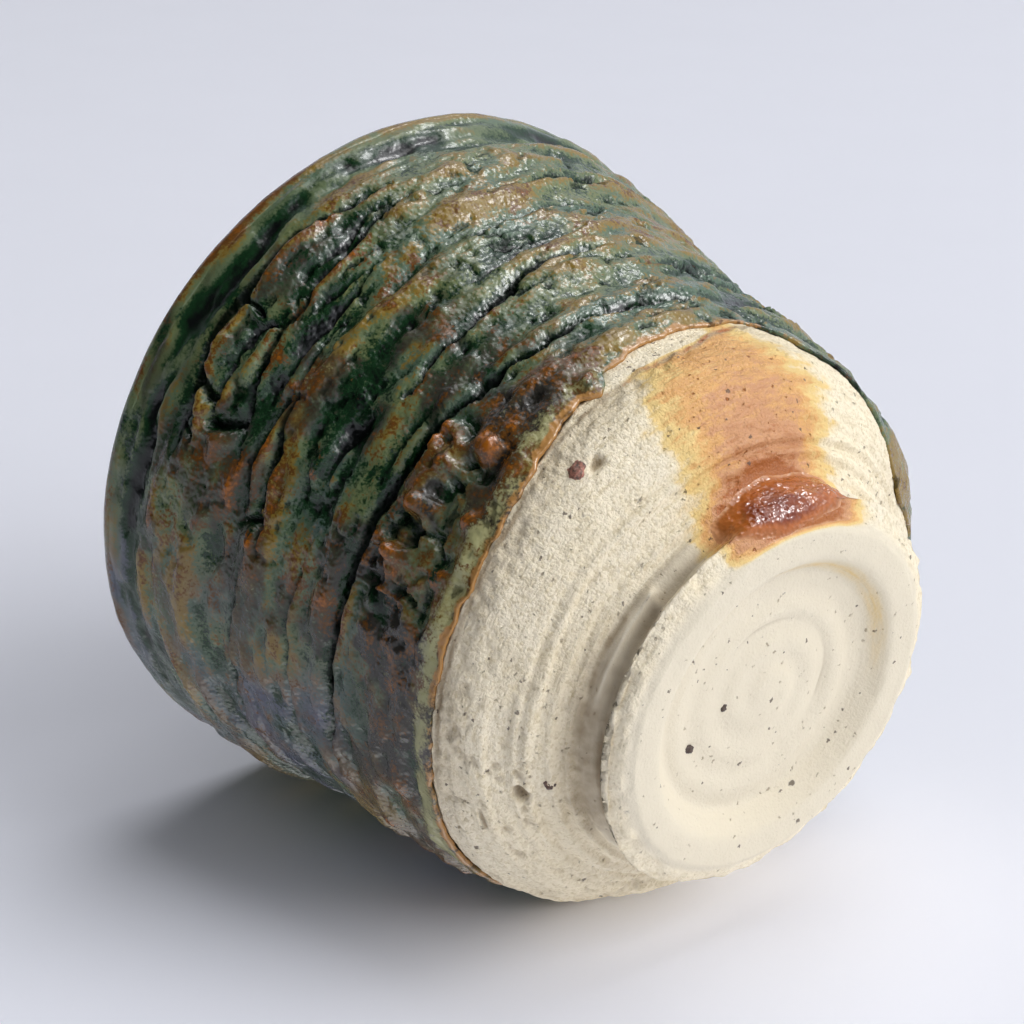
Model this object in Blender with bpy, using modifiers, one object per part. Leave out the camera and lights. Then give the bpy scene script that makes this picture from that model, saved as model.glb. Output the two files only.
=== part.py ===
"""A hand-thrown stoneware sake cup, as eight separate solids.

The clay body is turned in one piece with its foot. A carved outer glaze coat and a liner coat sit on it,
a patch of fused glass lies in its waist, and four stones sit in pits in the clay.

Lengths are metres. The foot stands on z = 0 and the cup's axis is +Z. A bearing is in degrees from the front
(-Y) towards +X. A turned outline is a list of (radius, height) points, which runs up the inside and down the
outside.
"""

import itertools
import math

import bmesh
import bpy
import numpy as np

MM = 0.001

# Driving dimensions of the whole cup.
LIP_DIAMETER = 60.0 * MM
HEIGHT = 50.0 * MM
FOOT_DIAMETER = 33.4 * MM

# The outside, from the foot up.
FOOT_FACE_DIAMETER = 28.8 * MM
FOOT_EDGE_HEIGHT = 1.1 * MM
FOOT_CHAMFER_BEND = (16.1 * MM, 0.45 * MM)
WAIST_DIAMETER = 31.8 * MM
WAIST_HEIGHT = 3.2 * MM
BELLY_START_DIAMETER = 34.0 * MM
BELLY_START_HEIGHT = 4.8 * MM
HIP_DIAMETER = 48.4 * MM
HIP_HEIGHT = 12.4 * MM
GLAZE_LINE_HEIGHT = 13.2 * MM
GLAZE_STEP = 0.4 * MM
LIP_THICKNESS = 3.6 * MM

# Rings carved round the wall before glazing, and the swell below the lip: height, depth and half width.
CARVED_RINGS = (
    (22.4 * MM, 0.7 * MM, 1.0 * MM),
    (27.6 * MM, 0.6 * MM, 1.1 * MM),
    (34.8 * MM, 0.7 * MM, 1.1 * MM),
    (43.8 * MM, 0.6 * MM, 1.2 * MM),
)
SWELL = (40.5 * MM, -0.5 * MM, 4.5 * MM)
RING_STATIONS = (-1.6, -0.7, 0.0, 0.7, 1.6)
COAT_BACK_STATIONS = (-1.6, 0.0, 1.6)
STATIONS_BETWEEN_RINGS = (17.0 * MM, 31.2 * MM, 39.3 * MM)

# The glaze fills those rings, so its even skin has softer ones, given in the same way.
SKIN_RINGS = (
    (22.4 * MM, 0.3 * MM, 1.2 * MM),
    (27.6 * MM, 0.3 * MM, 1.4 * MM),
    (34.8 * MM, 0.35 * MM, 1.4 * MM),
    (45.3 * MM, 0.5 * MM, 1.6 * MM),
    (40.5 * MM, -0.45 * MM, 4.0 * MM),
)
SKIN_STATIONS = 36
SKIN_TURN_STEPS = 72
THINNEST_COAT = 0.35 * MM
# The carving fades out over these lengths above the glaze line and below the lip's crest.
CARVING_FADE = (1.6 * MM, 2.0 * MM)

# The main grooves on the front, in degrees and mm: how deep, then (bearing, height, half width) along the run.
ARC_RADIUS = 27.0
CARVED_GROOVES = (
    (1.2, ((-66, 23.4, 0.15), (-50, 22.8, 0.3), (-32, 22.5, 0.42), (-15, 22.3, 0.5), (0, 21.9, 0.45),
           (12, 21.3, 0.38), (25, 20.6, 0.34), (40, 20.1, 0.32), (50, 19.7, 0.3), (62, 18.7, 0.15))),
    (0.9, ((6, 25.5, 0.12), (14, 25.7, 0.22), (22, 25.9, 0.38), (28, 26.4, 0.42), (35, 27.1, 0.42),
           (42, 27.7, 0.38), (48, 27.8, 0.3), (56, 27.4, 0.12))),
    (1.3, ((-25.5, 34.1, 0.2), (-20, 34.3, 0.45), (-12, 34.4, 0.45), (-6, 34.5, 0.38), (-4, 34.6, 0.12))),
    (0.9, ((-29, 31.1, 0.2), (-23, 32.0, 0.42), (-16, 32.5, 0.32), (-9, 33.1, 0.26), (-4, 33.8, 0.3),
           (2, 34.5, 0.22), (11, 34.9, 0.12))),
    (0.9, ((-17, 36.2, 0.15), (-10, 36.9, 0.26), (-4, 37.7, 0.3), (3, 38.2, 0.32), (10, 38.3, 0.3),
           (18, 38.9, 0.3), (26, 39.5, 0.26), (35, 40.0, 0.1))),
    (1.1, ((-22, 42.2, 0.2), (-14, 42.3, 0.42), (-9, 42.9, 0.55), (-4, 43.6, 0.55), (3, 43.5, 0.48),
           (10, 43.3, 0.45), (17, 43.5, 0.5), (22, 43.1, 0.45), (27, 42.4, 0.36), (33, 42.0, 0.12))),
    (0.9, ((-9.5, 42.6, 0.45), (-11, 41.0, 0.5), (-10, 39.8, 0.35))),
    (1.0, ((-14, 39.6, 0.5), (-13.5, 38.2, 0.6), (-12, 37.0, 0.3))),
    (0.5, ((-62, 27.3, 0.1), (-50, 27.2, 0.25), (-38, 27.5, 0.25), (-28, 27.0, 0.2))),
    (0.5, ((-70, 35.0, 0.1), (-55, 34.6, 0.25), (-40, 33.2, 0.3), (-31, 32.6, 0.15))),
    (0.5, ((36, 33.6, 0.1), (44, 33.9, 0.22), (58, 34.0, 0.25), (72, 33.6, 0.12))),
    (0.6, ((48, 37.0, 0.1), (58, 37.4, 0.3), (70, 38.0, 0.3), (84, 37.6, 0.12))),
    (0.7, ((58, 24.6, 0.12), (70, 25.0, 0.3), (84, 24.4, 0.3), (98, 24.0, 0.15))),
)
GROOVE_SHARE = 0.65
NARROWEST_GROOVE = 0.5
# Rings that the grooves round the back keep near, and where along each ring they start.
BACK_RINGS = (17.5, 20.5, 22.4, 25.0, 27.6, 31.0, 34.8, 37.5, 40.5, 43.6)
BACK_STARTS = (78, 125, 175, 225)

# Lumps under the glaze, in degrees and mm: bearing, height, half length, half height and rise.
GLAZE_LUMPS = (
    (-10, 28.8, 2.2, 0.8, 0.6), (2, 28.9, 1.5, 0.6, 0.4), (21, 29.3, 1.0, 1.0, 0.55), (-15.5, 14.6, 1.3, 1.0, 0.55),
    (-4.2, 14.1, 1.0, 0.9, 0.55), (-24.5, 19.0, 1.5, 1.4, 0.5), (-15.5, 18.6, 1.0, 1.8, 0.6),
    (-6.5, 18.6, 0.9, 1.7, 0.6), (1.0, 18.3, 1.0, 1.7, 0.6), (7, 16.7, 0.9, 1.2, 0.5), (26.8, 14.5, 1.0, 0.7, 0.6),
    (-27.5, 32.4, 1.5, 0.8, 0.45), (-15.5, 41.2, 1.5, 1.0, 0.4), (-3, 41.8, 2.4, 1.1, 0.4), (13, 41.7, 4.2, 1.4, 0.4),
    (22, 37.4, 4.0, 0.6, 0.3), (0, 36.8, 3.0, 0.6, 0.3),
)

# Soft ridges and strands drawn out round the wall, in mm: length, how many times flatter than long, rise and seed.
RIDGES = ((9.0, 4.2, 0.38, 105), (3.6, 3.2, 0.2, 106))
# What the clay pushed up along the grooves adds, spread over the wall, in mm.
PUSHED_UP = 0.06

# The recess under the foot, with the low boss left at its centre.
RECESS_DIAMETER = 24.0 * MM
RECESS_FLOOR_DIAMETER = 20.6 * MM
RECESS_DEPTH = 1.7 * MM
BOSS_DIAMETER = 5.0 * MM
BOSS_HEIGHT = 0.5 * MM

# The inside, measured on the surface of the liner coat.
FLOOR_HEIGHT = 7.8 * MM
FLOOR_FLAT_RADIUS = 8.0 * MM
CORNER_RADIUS = 20.4 * MM
CORNER_HEIGHT = 18.0 * MM

# Coats, and the gap that keeps touching pieces apart.
COAT = 0.8 * MM
GAP = 0.3 * MM
GLASS = 0.5 * MM
GLASS_GAP = 0.4 * MM

# The patch of fused glass in the waist: bearing, height and half sizes along the waist, up it and through it.
GLASS_BEARING = 46.0
GLASS_HEIGHT = 3.6 * MM
GLASS_HALF_SIZES = (7.6 * MM, 4.0 * MM, 2.6 * MM)
GLASS_FROM = 0.7 * MM
GLASS_TO = 7.0 * MM

# Stones in the clay wall: bearing, height of the centre, and half sizes along the wall, through it and up it.
WALL_STONES = {
    "hip_stone": (13.0, 10.4 * MM, (1.3 * MM, 0.8 * MM, 0.95 * MM)),
    "waist_stone": (-54.0, 5.6 * MM, (0.9 * MM, 0.6 * MM, 0.7 * MM)),
}
# Stones in the recess of the foot: bearing, distance from the axis, and half sizes along, across and up.
FOOT_STONES = {
    "foot_stone_inner": (-42.0, 4.2 * MM, (0.8 * MM, 0.5 * MM, 0.4 * MM)),
    "foot_stone_outer": (-61.0, 7.8 * MM, (0.9 * MM, 0.55 * MM, 0.4 * MM)),
}
STONE_PROUD = 0.25 * MM

TURN_STEPS = 48
BELLY_STATIONS = 7
CORNER_STATIONS = 6
CREST_STATIONS = 6
LINER_WALL_STATIONS = 3


def belly_radius(height):
    """The belly swells from the waist to the hip along a parabola."""
    share = (HIP_HEIGHT - height) / (HIP_HEIGHT - BELLY_START_HEIGHT)
    return (HIP_DIAMETER - (HIP_DIAMETER - BELLY_START_DIAMETER) * share**2) / 2


def wall_radius(height):
    """The wall steps out at the hip and flares evenly to the lip, less the rings carved into it."""
    share = (height - HIP_HEIGHT) / (HEIGHT - HIP_HEIGHT)
    bottom = HIP_DIAMETER / 2 + GLAZE_STEP
    radius = bottom + (LIP_DIAMETER / 2 - bottom) * share
    for ring_height, depth, half_width in (*CARVED_RINGS, SWELL):
        radius -= depth * math.exp(-(((height - ring_height) / half_width) ** 2))
    return radius


def wall_heights(ring_stations):
    """Heights down the wall: its ends, a few across each carved ring, and some between the rings."""
    heights = [HEIGHT - LIP_THICKNESS / 2, GLAZE_LINE_HEIGHT, *STATIONS_BETWEEN_RINGS]
    for ring_height, _, half_width in CARVED_RINGS:
        heights += [ring_height + share * half_width for share in ring_stations]
    return sorted(heights, reverse=True)


def lip_crest(radius):
    """A half circle over the lip, from its inner side to its outer side."""
    centre_radius = (LIP_DIAMETER - LIP_THICKNESS) / 2
    centre_height = HEIGHT - LIP_THICKNESS / 2
    angles = np.linspace(math.pi, 0.0, CREST_STATIONS + 1)
    return [(centre_radius + radius * math.cos(a), centre_height + radius * math.sin(a)) for a in angles]


def offset(outline, distance):
    """Move each point of an open outline sideways, to the right of the way it runs for a positive distance."""
    points = np.array(outline)
    ways = np.gradient(points, axis=0)
    ways /= np.linalg.norm(ways, axis=1, keepdims=True)
    sideways = np.stack([ways[:, 1], -ways[:, 0]], axis=1)
    return [tuple(point) for point in points + distance * sideways]


def glazed_wall(ring_stations=RING_STATIONS):
    """The wall that the clay and the back of its coat follow, from below the lip's crest to the glaze line."""
    return [(wall_radius(height), height) for height in wall_heights(ring_stations)]


def smooth(low, high, x):
    """0 below low, 1 above high and an even S between."""
    share = np.clip((x - low) / (high - low), 0.0, 1.0)
    return share * share * (3.0 - 2.0 * share)


def cell_value(cell, seed):
    """A repeatable value from 0 to 1 for each whole-number cell, by an integer hash of its three indices."""
    mixed = cell[..., 0] * 73856093 ^ cell[..., 1] * 19349663 ^ cell[..., 2] * 83492791 ^ (seed * 2654435761)
    mixed = (mixed & 0xFFFFFFFF) * 2246822519 & 0xFFFFFFFF
    mixed = (mixed ^ (mixed >> 15)) * 3266489917 & 0xFFFFFFFF
    return ((mixed ^ (mixed >> 13)) & 0xFFFFFF) / 0xFFFFFF


def noise(points, size, seed):
    """Smooth noise from -1 to 1: the values of the eight cell corners round a point, blended by quintic shares."""
    place = points / size
    cell = np.floor(place).astype(np.int64)
    share = place - cell
    share = share**3 * (share * (share * 6 - 15) + 10)
    total = np.zeros(points.shape[:-1])
    for corner in itertools.product((0, 1), repeat=3):
        weight = np.prod(np.where(corner, share, 1 - share), axis=-1)
        total += weight * cell_value(cell + np.array(corner), seed)
    return 2 * total - 1


def nearest_run(run, arc, height):
    """Distance from each point to a groove's run, over the groove's half width there."""
    points = np.array(run, float)
    points[:, 0] = np.radians(points[:, 0]) * ARC_RADIUS
    points[:, 2] = np.maximum(points[:, 2], NARROWEST_GROOVE)
    nearest = np.full(arc.shape, 9.0)
    for start, end in zip(points[:-1], points[1:]):
        way = end[:2] - start[:2]
        share = np.clip(((arc - start[0]) * way[0] + (height - start[1]) * way[1]) / (way @ way), 0, 1)
        distance = np.hypot(arc - start[0] - share * way[0], height - start[1] - share * way[1])
        nearest = np.minimum(nearest, distance / (start[2] + share * (end[2] - start[2])))
    return nearest


def back_grooves():
    """Grooves for the sides and the back, by a seeded draw: near the wall's rings, long, thin and leaning."""
    draw = np.random.default_rng(20)
    grooves = []
    for ring in BACK_RINGS:
        for start in BACK_STARTS:
            begin = start + draw.uniform(-15, 15)
            reach, lean, half = draw.uniform(25, 60), draw.uniform(-1.6, 1.6), draw.uniform(0.18, 0.46)
            shares = np.array([0, 0.3, 0.7, 1.0])
            heights = ring + draw.uniform(-0.9, 0.9) + lean * shares + draw.uniform(-0.3, 0.3, 4)
            widths = half * np.array([0.4, 1, 0.9, 0.35])
            grooves.append((draw.uniform(0.5, 1.2), tuple(zip(begin + reach * shares, heights, widths))))
    return grooves


def carving(bearing, height):
    """How far the skin stands out from its even wall, in mm: ridges and lumps, less the grooves."""
    angle = np.radians(bearing)
    arc = angle * ARC_RADIUS
    out = np.full(bearing.shape, PUSHED_UP)
    for size, flatter, rise, seed in RIDGES:
        place = np.stack([ARC_RADIUS * np.sin(angle), -ARC_RADIUS * np.cos(angle), height * flatter], -1)
        out = out + rise / 0.9 * (noise(place, size, seed) + noise(place, size / 2, seed + 1) / 2)
    arc_back = np.where(bearing < 60, arc + 2 * np.pi * ARC_RADIUS, arc)
    for grooves, along in ((CARVED_GROOVES, arc), (back_grooves(), arc_back)):
        for deep, run in grooves:
            out = out - GROOVE_SHARE * deep * np.exp(-0.9 * nearest_run(run, along, height) ** 2)
    for spot, middle, half, tall, up in GLAZE_LUMPS:
        away = np.hypot((arc - np.radians(spot) * ARC_RADIUS) / half, (height - middle) / tall)
        out = out + up * (1 - smooth(0.3, 1.2, away))
    return out


def skin_radius(height):
    """The even skin of the outer coat: the wall's flare, less the soft rings that the glaze leaves."""
    share = (height - HIP_HEIGHT) / (HEIGHT - HIP_HEIGHT)
    bottom = HIP_DIAMETER / 2 + GLAZE_STEP
    radius = bottom + (LIP_DIAMETER / 2 - bottom) * share
    return radius - sum(depth * np.exp(-(((height - ring) / half) ** 2)) for ring, depth, half in SKIN_RINGS)


def liner_surface(below_lip):
    """The finished inside, from the floor's centre along a flat floor, a quarter ellipse and a flaring wall."""
    top = HEIGHT - below_lip
    top_radius = LIP_DIAMETER / 2 - LIP_THICKNESS
    angles = np.linspace(0.0, math.pi / 2, CORNER_STATIONS + 1)
    corner_radii = FLOOR_FLAT_RADIUS + (CORNER_RADIUS - FLOOR_FLAT_RADIUS) * np.sin(angles)
    corner_heights = CORNER_HEIGHT - (CORNER_HEIGHT - FLOOR_HEIGHT) * np.cos(angles)
    wall_radii = np.linspace(CORNER_RADIUS, top_radius, LINER_WALL_STATIONS + 1)[1:]
    wall_heights_up = np.linspace(CORNER_HEIGHT, top, LINER_WALL_STATIONS + 1)[1:]
    corner = list(zip(corner_radii, corner_heights))
    return [(0.0, FLOOR_HEIGHT)] + corner + list(zip(wall_radii, wall_heights_up))


def bare_outside():
    """The unglazed clay, from the glaze line down the belly and the waist to the edge of the foot's face."""
    belly = np.linspace(HIP_HEIGHT, BELLY_START_HEIGHT, BELLY_STATIONS)
    foot_radius = FOOT_DIAMETER / 2
    return [
        (wall_radius(GLAZE_LINE_HEIGHT), GLAZE_LINE_HEIGHT - GAP),
        *[(belly_radius(height), height) for height in belly],
        (WAIST_DIAMETER / 2, WAIST_HEIGHT + GAP),
        (WAIST_DIAMETER / 2, WAIST_HEIGHT - GAP),
        (foot_radius, FOOT_EDGE_HEIGHT + GAP),
        (foot_radius, FOOT_EDGE_HEIGHT - GAP),
        FOOT_CHAMFER_BEND,
        (FOOT_FACE_DIAMETER / 2, 0.0),
    ]


def foot_recess():
    """The ring face and the recess under the foot, from the inner edge of the face to the axis."""
    return [
        (RECESS_DIAMETER / 2, 0.0),
        (RECESS_FLOOR_DIAMETER / 2, RECESS_DEPTH),
        (BOSS_DIAMETER / 2, RECESS_DEPTH),
        (BOSS_DIAMETER / 4, RECESS_DEPTH - BOSS_HEIGHT),
        (0.0, RECESS_DEPTH - BOSS_HEIGHT),
    ]


def material(name, colour, roughness, metallic=0.0):
    finish = bpy.data.materials.new(name)
    finish.use_nodes = True
    shader = finish.node_tree.nodes["Principled BSDF"]
    shader.inputs["Base Color"].default_value = (*colour, 1.0)
    shader.inputs["Roughness"].default_value = roughness
    shader.inputs["Metallic"].default_value = metallic
    return finish


def new_collection(name):
    collection = bpy.data.collections.new(name)
    bpy.context.scene.collection.children.link(collection)
    return collection


def add_object(name, mesh, finish, collection):
    """Link a mesh as a named object, as a part with a finish or as a hidden cutter without one."""
    piece = bpy.data.objects.new(name, mesh)
    collection.objects.link(piece)
    if finish:
        mesh.materials.append(finish)
    else:
        piece.hide_render = True
        piece.display_type = "WIRE"
    return piece


def turned(name, outline, finish, collection, ring=False, steps=TURN_STEPS):
    """Turn an outline round the axis: one that starts and ends on the axis, or a closed ring of a section."""
    mesh = bpy.data.meshes.new(name)
    count = len(outline)
    edges = [(i, i + 1) for i in range(count - 1)]
    if ring:
        edges.append((count - 1, 0))
    mesh.from_pydata([(radius, 0.0, height) for radius, height in outline], edges, [])
    piece = add_object(name, mesh, finish, collection)
    screw = piece.modifiers.new("turning", "SCREW")
    screw.axis = "Z"
    screw.angle = 2 * math.pi
    screw.steps = steps
    screw.render_steps = steps
    screw.use_merge_vertices = True
    screw.merge_threshold = 0.00001
    screw.use_smooth_shade = True
    return piece


def ball(name, half_sizes, place, bearing, finish, collection):
    """An ellipsoid with its own axes along the wall, through it and up it, turned to a bearing."""
    shape = bmesh.new()
    bmesh.ops.create_icosphere(shape, subdivisions=2, radius=1.0)
    bmesh.ops.scale(shape, vec=half_sizes, verts=shape.verts)
    mesh = bpy.data.meshes.new(name)
    shape.to_mesh(mesh)
    shape.free()
    mesh.shade_smooth()
    piece = add_object(name, mesh, finish, collection)
    piece.location = place
    piece.rotation_euler = (0.0, 0.0, math.radians(bearing))
    return piece


def at_bearing(bearing, radius, height):
    angle = math.radians(bearing)
    return (radius * math.sin(angle), -radius * math.cos(angle), height)


def cut(piece, cutter, operation="DIFFERENCE"):
    boolean = piece.modifiers.new(cutter.name, "BOOLEAN")
    boolean.operation = operation
    boolean.object = cutter
    boolean.solver = "EXACT"


def make_stoneware_body(finish, parts):
    """One lump of clay: floor, wall, lip and turned foot, set back under the two coats."""
    set_back = COAT + GAP
    inside = offset(liner_surface(LIP_THICKNESS / 2), set_back)
    inside[0] = (0.0, FLOOR_HEIGHT - set_back)
    crest = lip_crest(LIP_THICKNESS / 2 - set_back)
    outside = offset(glazed_wall(), set_back)
    ledge = (outside[-1][0], GLAZE_LINE_HEIGHT - GAP)
    outline = inside[:-1] + crest + outside[1:-1] + [ledge] + bare_outside() + foot_recess()
    return turned("stoneware_body", outline, finish, parts)


def carve(piece, back):
    """Freeze a turned coat as a mesh, and move its skin in and out by the carving, clear of its back."""
    graph = bpy.context.evaluated_depsgraph_get()
    mesh = bpy.data.meshes.new_from_object(piece.evaluated_get(graph))
    points = np.empty(len(mesh.vertices) * 3, np.float32)
    mesh.vertices.foreach_get("co", points)
    points = points.reshape(-1, 3)
    height = points[:, 2].astype(float)
    radius = np.hypot(points[:, 0], points[:, 1])
    back_radii, back_heights = np.array(back[::-1]).T
    behind = np.interp(height, back_heights, back_radii)
    top = HEIGHT - LIP_THICKNESS / 2
    over_line, under_lip = CARVING_FADE
    carved = smooth(0.0, over_line, height - GLAZE_LINE_HEIGHT) * smooth(0.0, under_lip, top - height)
    bearing = np.degrees(np.arctan2(points[:, 0], -points[:, 1]))
    out = np.maximum(radius + carving(bearing, height / MM) * MM * carved, behind + THINNEST_COAT)
    skin = (radius > behind + THINNEST_COAT / 2) & (height < top)
    points[:, :2] *= np.where(skin, out / radius, 1.0)[:, None]
    mesh.vertices.foreach_set("co", points.ravel())
    piece.modifiers.clear()
    piece.data = mesh


def make_outer_glaze(finish, parts):
    """The outer coat, over the whole of the lip's crest and down the carved wall to the glaze line."""
    heights = np.linspace(HEIGHT - LIP_THICKNESS / 2, GLAZE_LINE_HEIGHT, SKIN_STATIONS + 1)[1:]
    skin = lip_crest(LIP_THICKNESS / 2) + [(skin_radius(height), height) for height in heights]
    wall_back = offset(glazed_wall(COAT_BACK_STATIONS), COAT)
    wall_back[-1] = (wall_back[-1][0], GLAZE_LINE_HEIGHT)
    back = lip_crest(LIP_THICKNESS / 2 - COAT) + wall_back[1:]
    piece = turned("outer_glaze", skin + back[::-1], finish, parts, ring=True, steps=SKIN_TURN_STEPS)
    carve(piece, wall_back)
    return piece


def make_liner_glaze(finish, parts):
    """The liner coat, over the whole inside up to where the outer coat comes over the lip."""
    skin = liner_surface(LIP_THICKNESS / 2 + GAP)
    back = offset(skin, COAT)
    back[0] = (0.0, FLOOR_HEIGHT - COAT)
    return turned("liner_glaze", skin + back[::-1], finish, parts)


def make_flash_glass(finish, parts, cutters):
    """A lens of fused glass: a thin shell over the foot's edge, waist and belly, kept inside an ellipsoid."""
    under = [point for point in bare_outside() if GLASS_FROM <= point[1] <= GLASS_TO]
    back = [(radius + GLASS_GAP, height) for radius, height in under]
    skin = [(radius + GLASS, height) for radius, height in back]
    patch = turned("flash_glass", skin + back[::-1], finish, parts, ring=True)
    place = at_bearing(GLASS_BEARING, WAIST_DIAMETER / 2 + GLASS, GLASS_HEIGHT)
    along, up, through = GLASS_HALF_SIZES
    cut(patch, ball("glass_extent", (along, through, up), place, GLASS_BEARING, None, cutters), "INTERSECT")
    return patch


def make_stone(name, half_sizes, place, bearing, finish, body, parts, cutters):
    """A stone in the pit that it burst in the clay."""
    pit_sizes = [size + GAP for size in half_sizes]
    cut(body, ball(name + "_pit", pit_sizes, place, bearing, None, cutters))
    return ball(name, half_sizes, place, bearing, finish, parts)


def main():
    for old in list(bpy.data.objects):
        bpy.data.objects.remove(old, do_unlink=True)
    parts = new_collection("sake_cup")
    cutters = new_collection("cutters")

    body = make_stoneware_body(material("buff_stoneware", (0.78, 0.70, 0.56), 0.9), parts)
    make_outer_glaze(material("copper_green_glaze", (0.16, 0.22, 0.17), 0.22), parts)
    make_liner_glaze(material("green_liner_glaze", (0.18, 0.25, 0.19), 0.15), parts)
    make_flash_glass(material("red_brown_glass", (0.30, 0.09, 0.04), 0.12), parts, cutters)
    iron = material("iron_stone", (0.12, 0.06, 0.04), 0.7)
    for name, (bearing, height, half_sizes) in WALL_STONES.items():
        radius = belly_radius(height) - half_sizes[1] + STONE_PROUD
        make_stone(name, half_sizes, at_bearing(bearing, radius, height), bearing, iron, body, parts, cutters)
    for name, (bearing, distance, half_sizes) in FOOT_STONES.items():
        height = RECESS_DEPTH + half_sizes[2] - STONE_PROUD
        make_stone(name, half_sizes, at_bearing(bearing, distance, height), bearing, iron, body, parts, cutters)


main()
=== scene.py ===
"""Looks for a hand-thrown sake cup: torn buff clay, a carved green glaze coat, a fire flash and stones.

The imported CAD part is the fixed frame. Every piece here stands for one CAD node and is a numpy surface in
millimetres, put into the scene in metres. A bearing is in degrees from the cup's front, -Y, towards +X.
The last number in a call of noise is its seed, and the one before it in layered_noise is how many layers.
"""

import itertools
import math
from functools import partial

import bpy
import numpy as np
from mathutils import Matrix, Vector


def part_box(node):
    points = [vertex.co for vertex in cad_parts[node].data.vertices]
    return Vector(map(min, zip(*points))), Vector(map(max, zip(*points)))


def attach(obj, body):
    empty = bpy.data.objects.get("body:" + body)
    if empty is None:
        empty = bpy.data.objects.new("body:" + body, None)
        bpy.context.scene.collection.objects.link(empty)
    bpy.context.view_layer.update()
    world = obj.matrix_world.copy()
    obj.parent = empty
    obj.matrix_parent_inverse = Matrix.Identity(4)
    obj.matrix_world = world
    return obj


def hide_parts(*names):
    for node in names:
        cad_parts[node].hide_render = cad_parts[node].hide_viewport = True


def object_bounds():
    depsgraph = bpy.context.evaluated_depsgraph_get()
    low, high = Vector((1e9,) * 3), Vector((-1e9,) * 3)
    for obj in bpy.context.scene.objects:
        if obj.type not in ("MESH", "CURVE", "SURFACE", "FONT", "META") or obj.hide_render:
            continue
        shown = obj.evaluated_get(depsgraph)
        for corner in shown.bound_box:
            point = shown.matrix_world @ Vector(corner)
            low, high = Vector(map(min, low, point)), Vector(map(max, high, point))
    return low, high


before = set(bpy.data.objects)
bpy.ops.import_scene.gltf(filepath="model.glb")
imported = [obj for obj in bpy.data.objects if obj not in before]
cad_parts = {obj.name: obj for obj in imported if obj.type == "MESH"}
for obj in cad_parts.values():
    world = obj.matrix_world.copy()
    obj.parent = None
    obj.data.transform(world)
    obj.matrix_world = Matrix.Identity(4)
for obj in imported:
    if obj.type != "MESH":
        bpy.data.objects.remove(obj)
CAD_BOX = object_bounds()

bl_info = {
    "name": "Stoneware sake cup",
    "version": (1, 0, 0),
    "blender": (4, 5, 0),
    "location": "3D View > Sidebar > Sake Cup",
    "description": "Dresses the packed sake cup with torn clay, carved green glaze, a fire flash and stones",
    "category": "Add Mesh",
}

MM = 0.001

# Radii at which a bearing on the wall and on the belly becomes a length, and where noise on the edge is read.
WALL_ARC = 27.0
BELLY_ARC = 24.0
EDGE_ARC = 25.0

# Rows and columns of the surfaces' grids.
CLAY_ROWS, CLAY_COLUMNS = 200, 496
LIP_ROWS, WALL_ROWS, COAT_COLUMNS = 12, 140, 600
LINER_FLAT_ROWS, LINER_CORNER_ROWS, LINER_WALL_ROWS, LINER_COLUMNS = 21, 34, 70, 300
GLASS_ROWS, GLASS_COLUMNS = 90, 240
STONE_ROWS, STONE_COLUMNS = 40, 72
FLOOR_RINGS, FLOOR_COLUMNS = 24, 96

# Step along an outline in mm, and the seed of the draw for the far side's grooves.
PATH_STEP = 0.05
BACK_SEED = 20

# Middle bearings of the fire flash, its scorched middle, the glass and the clay that the glass smooths, with
# half widths in degrees, and the height in mm that the glass stays below.
FLASH_MIDDLE, FLASH_HALF = 51, 27.5
SCORCH_MIDDLE, SCORCH_HALF = 48, 26
GLASS_MIDDLE, GLASS_HALF = 50, 25.5
SMOOTHED_MIDDLE, SMOOTHED_HALF = 52, 27
GLASS_TOP = 5.4

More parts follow.
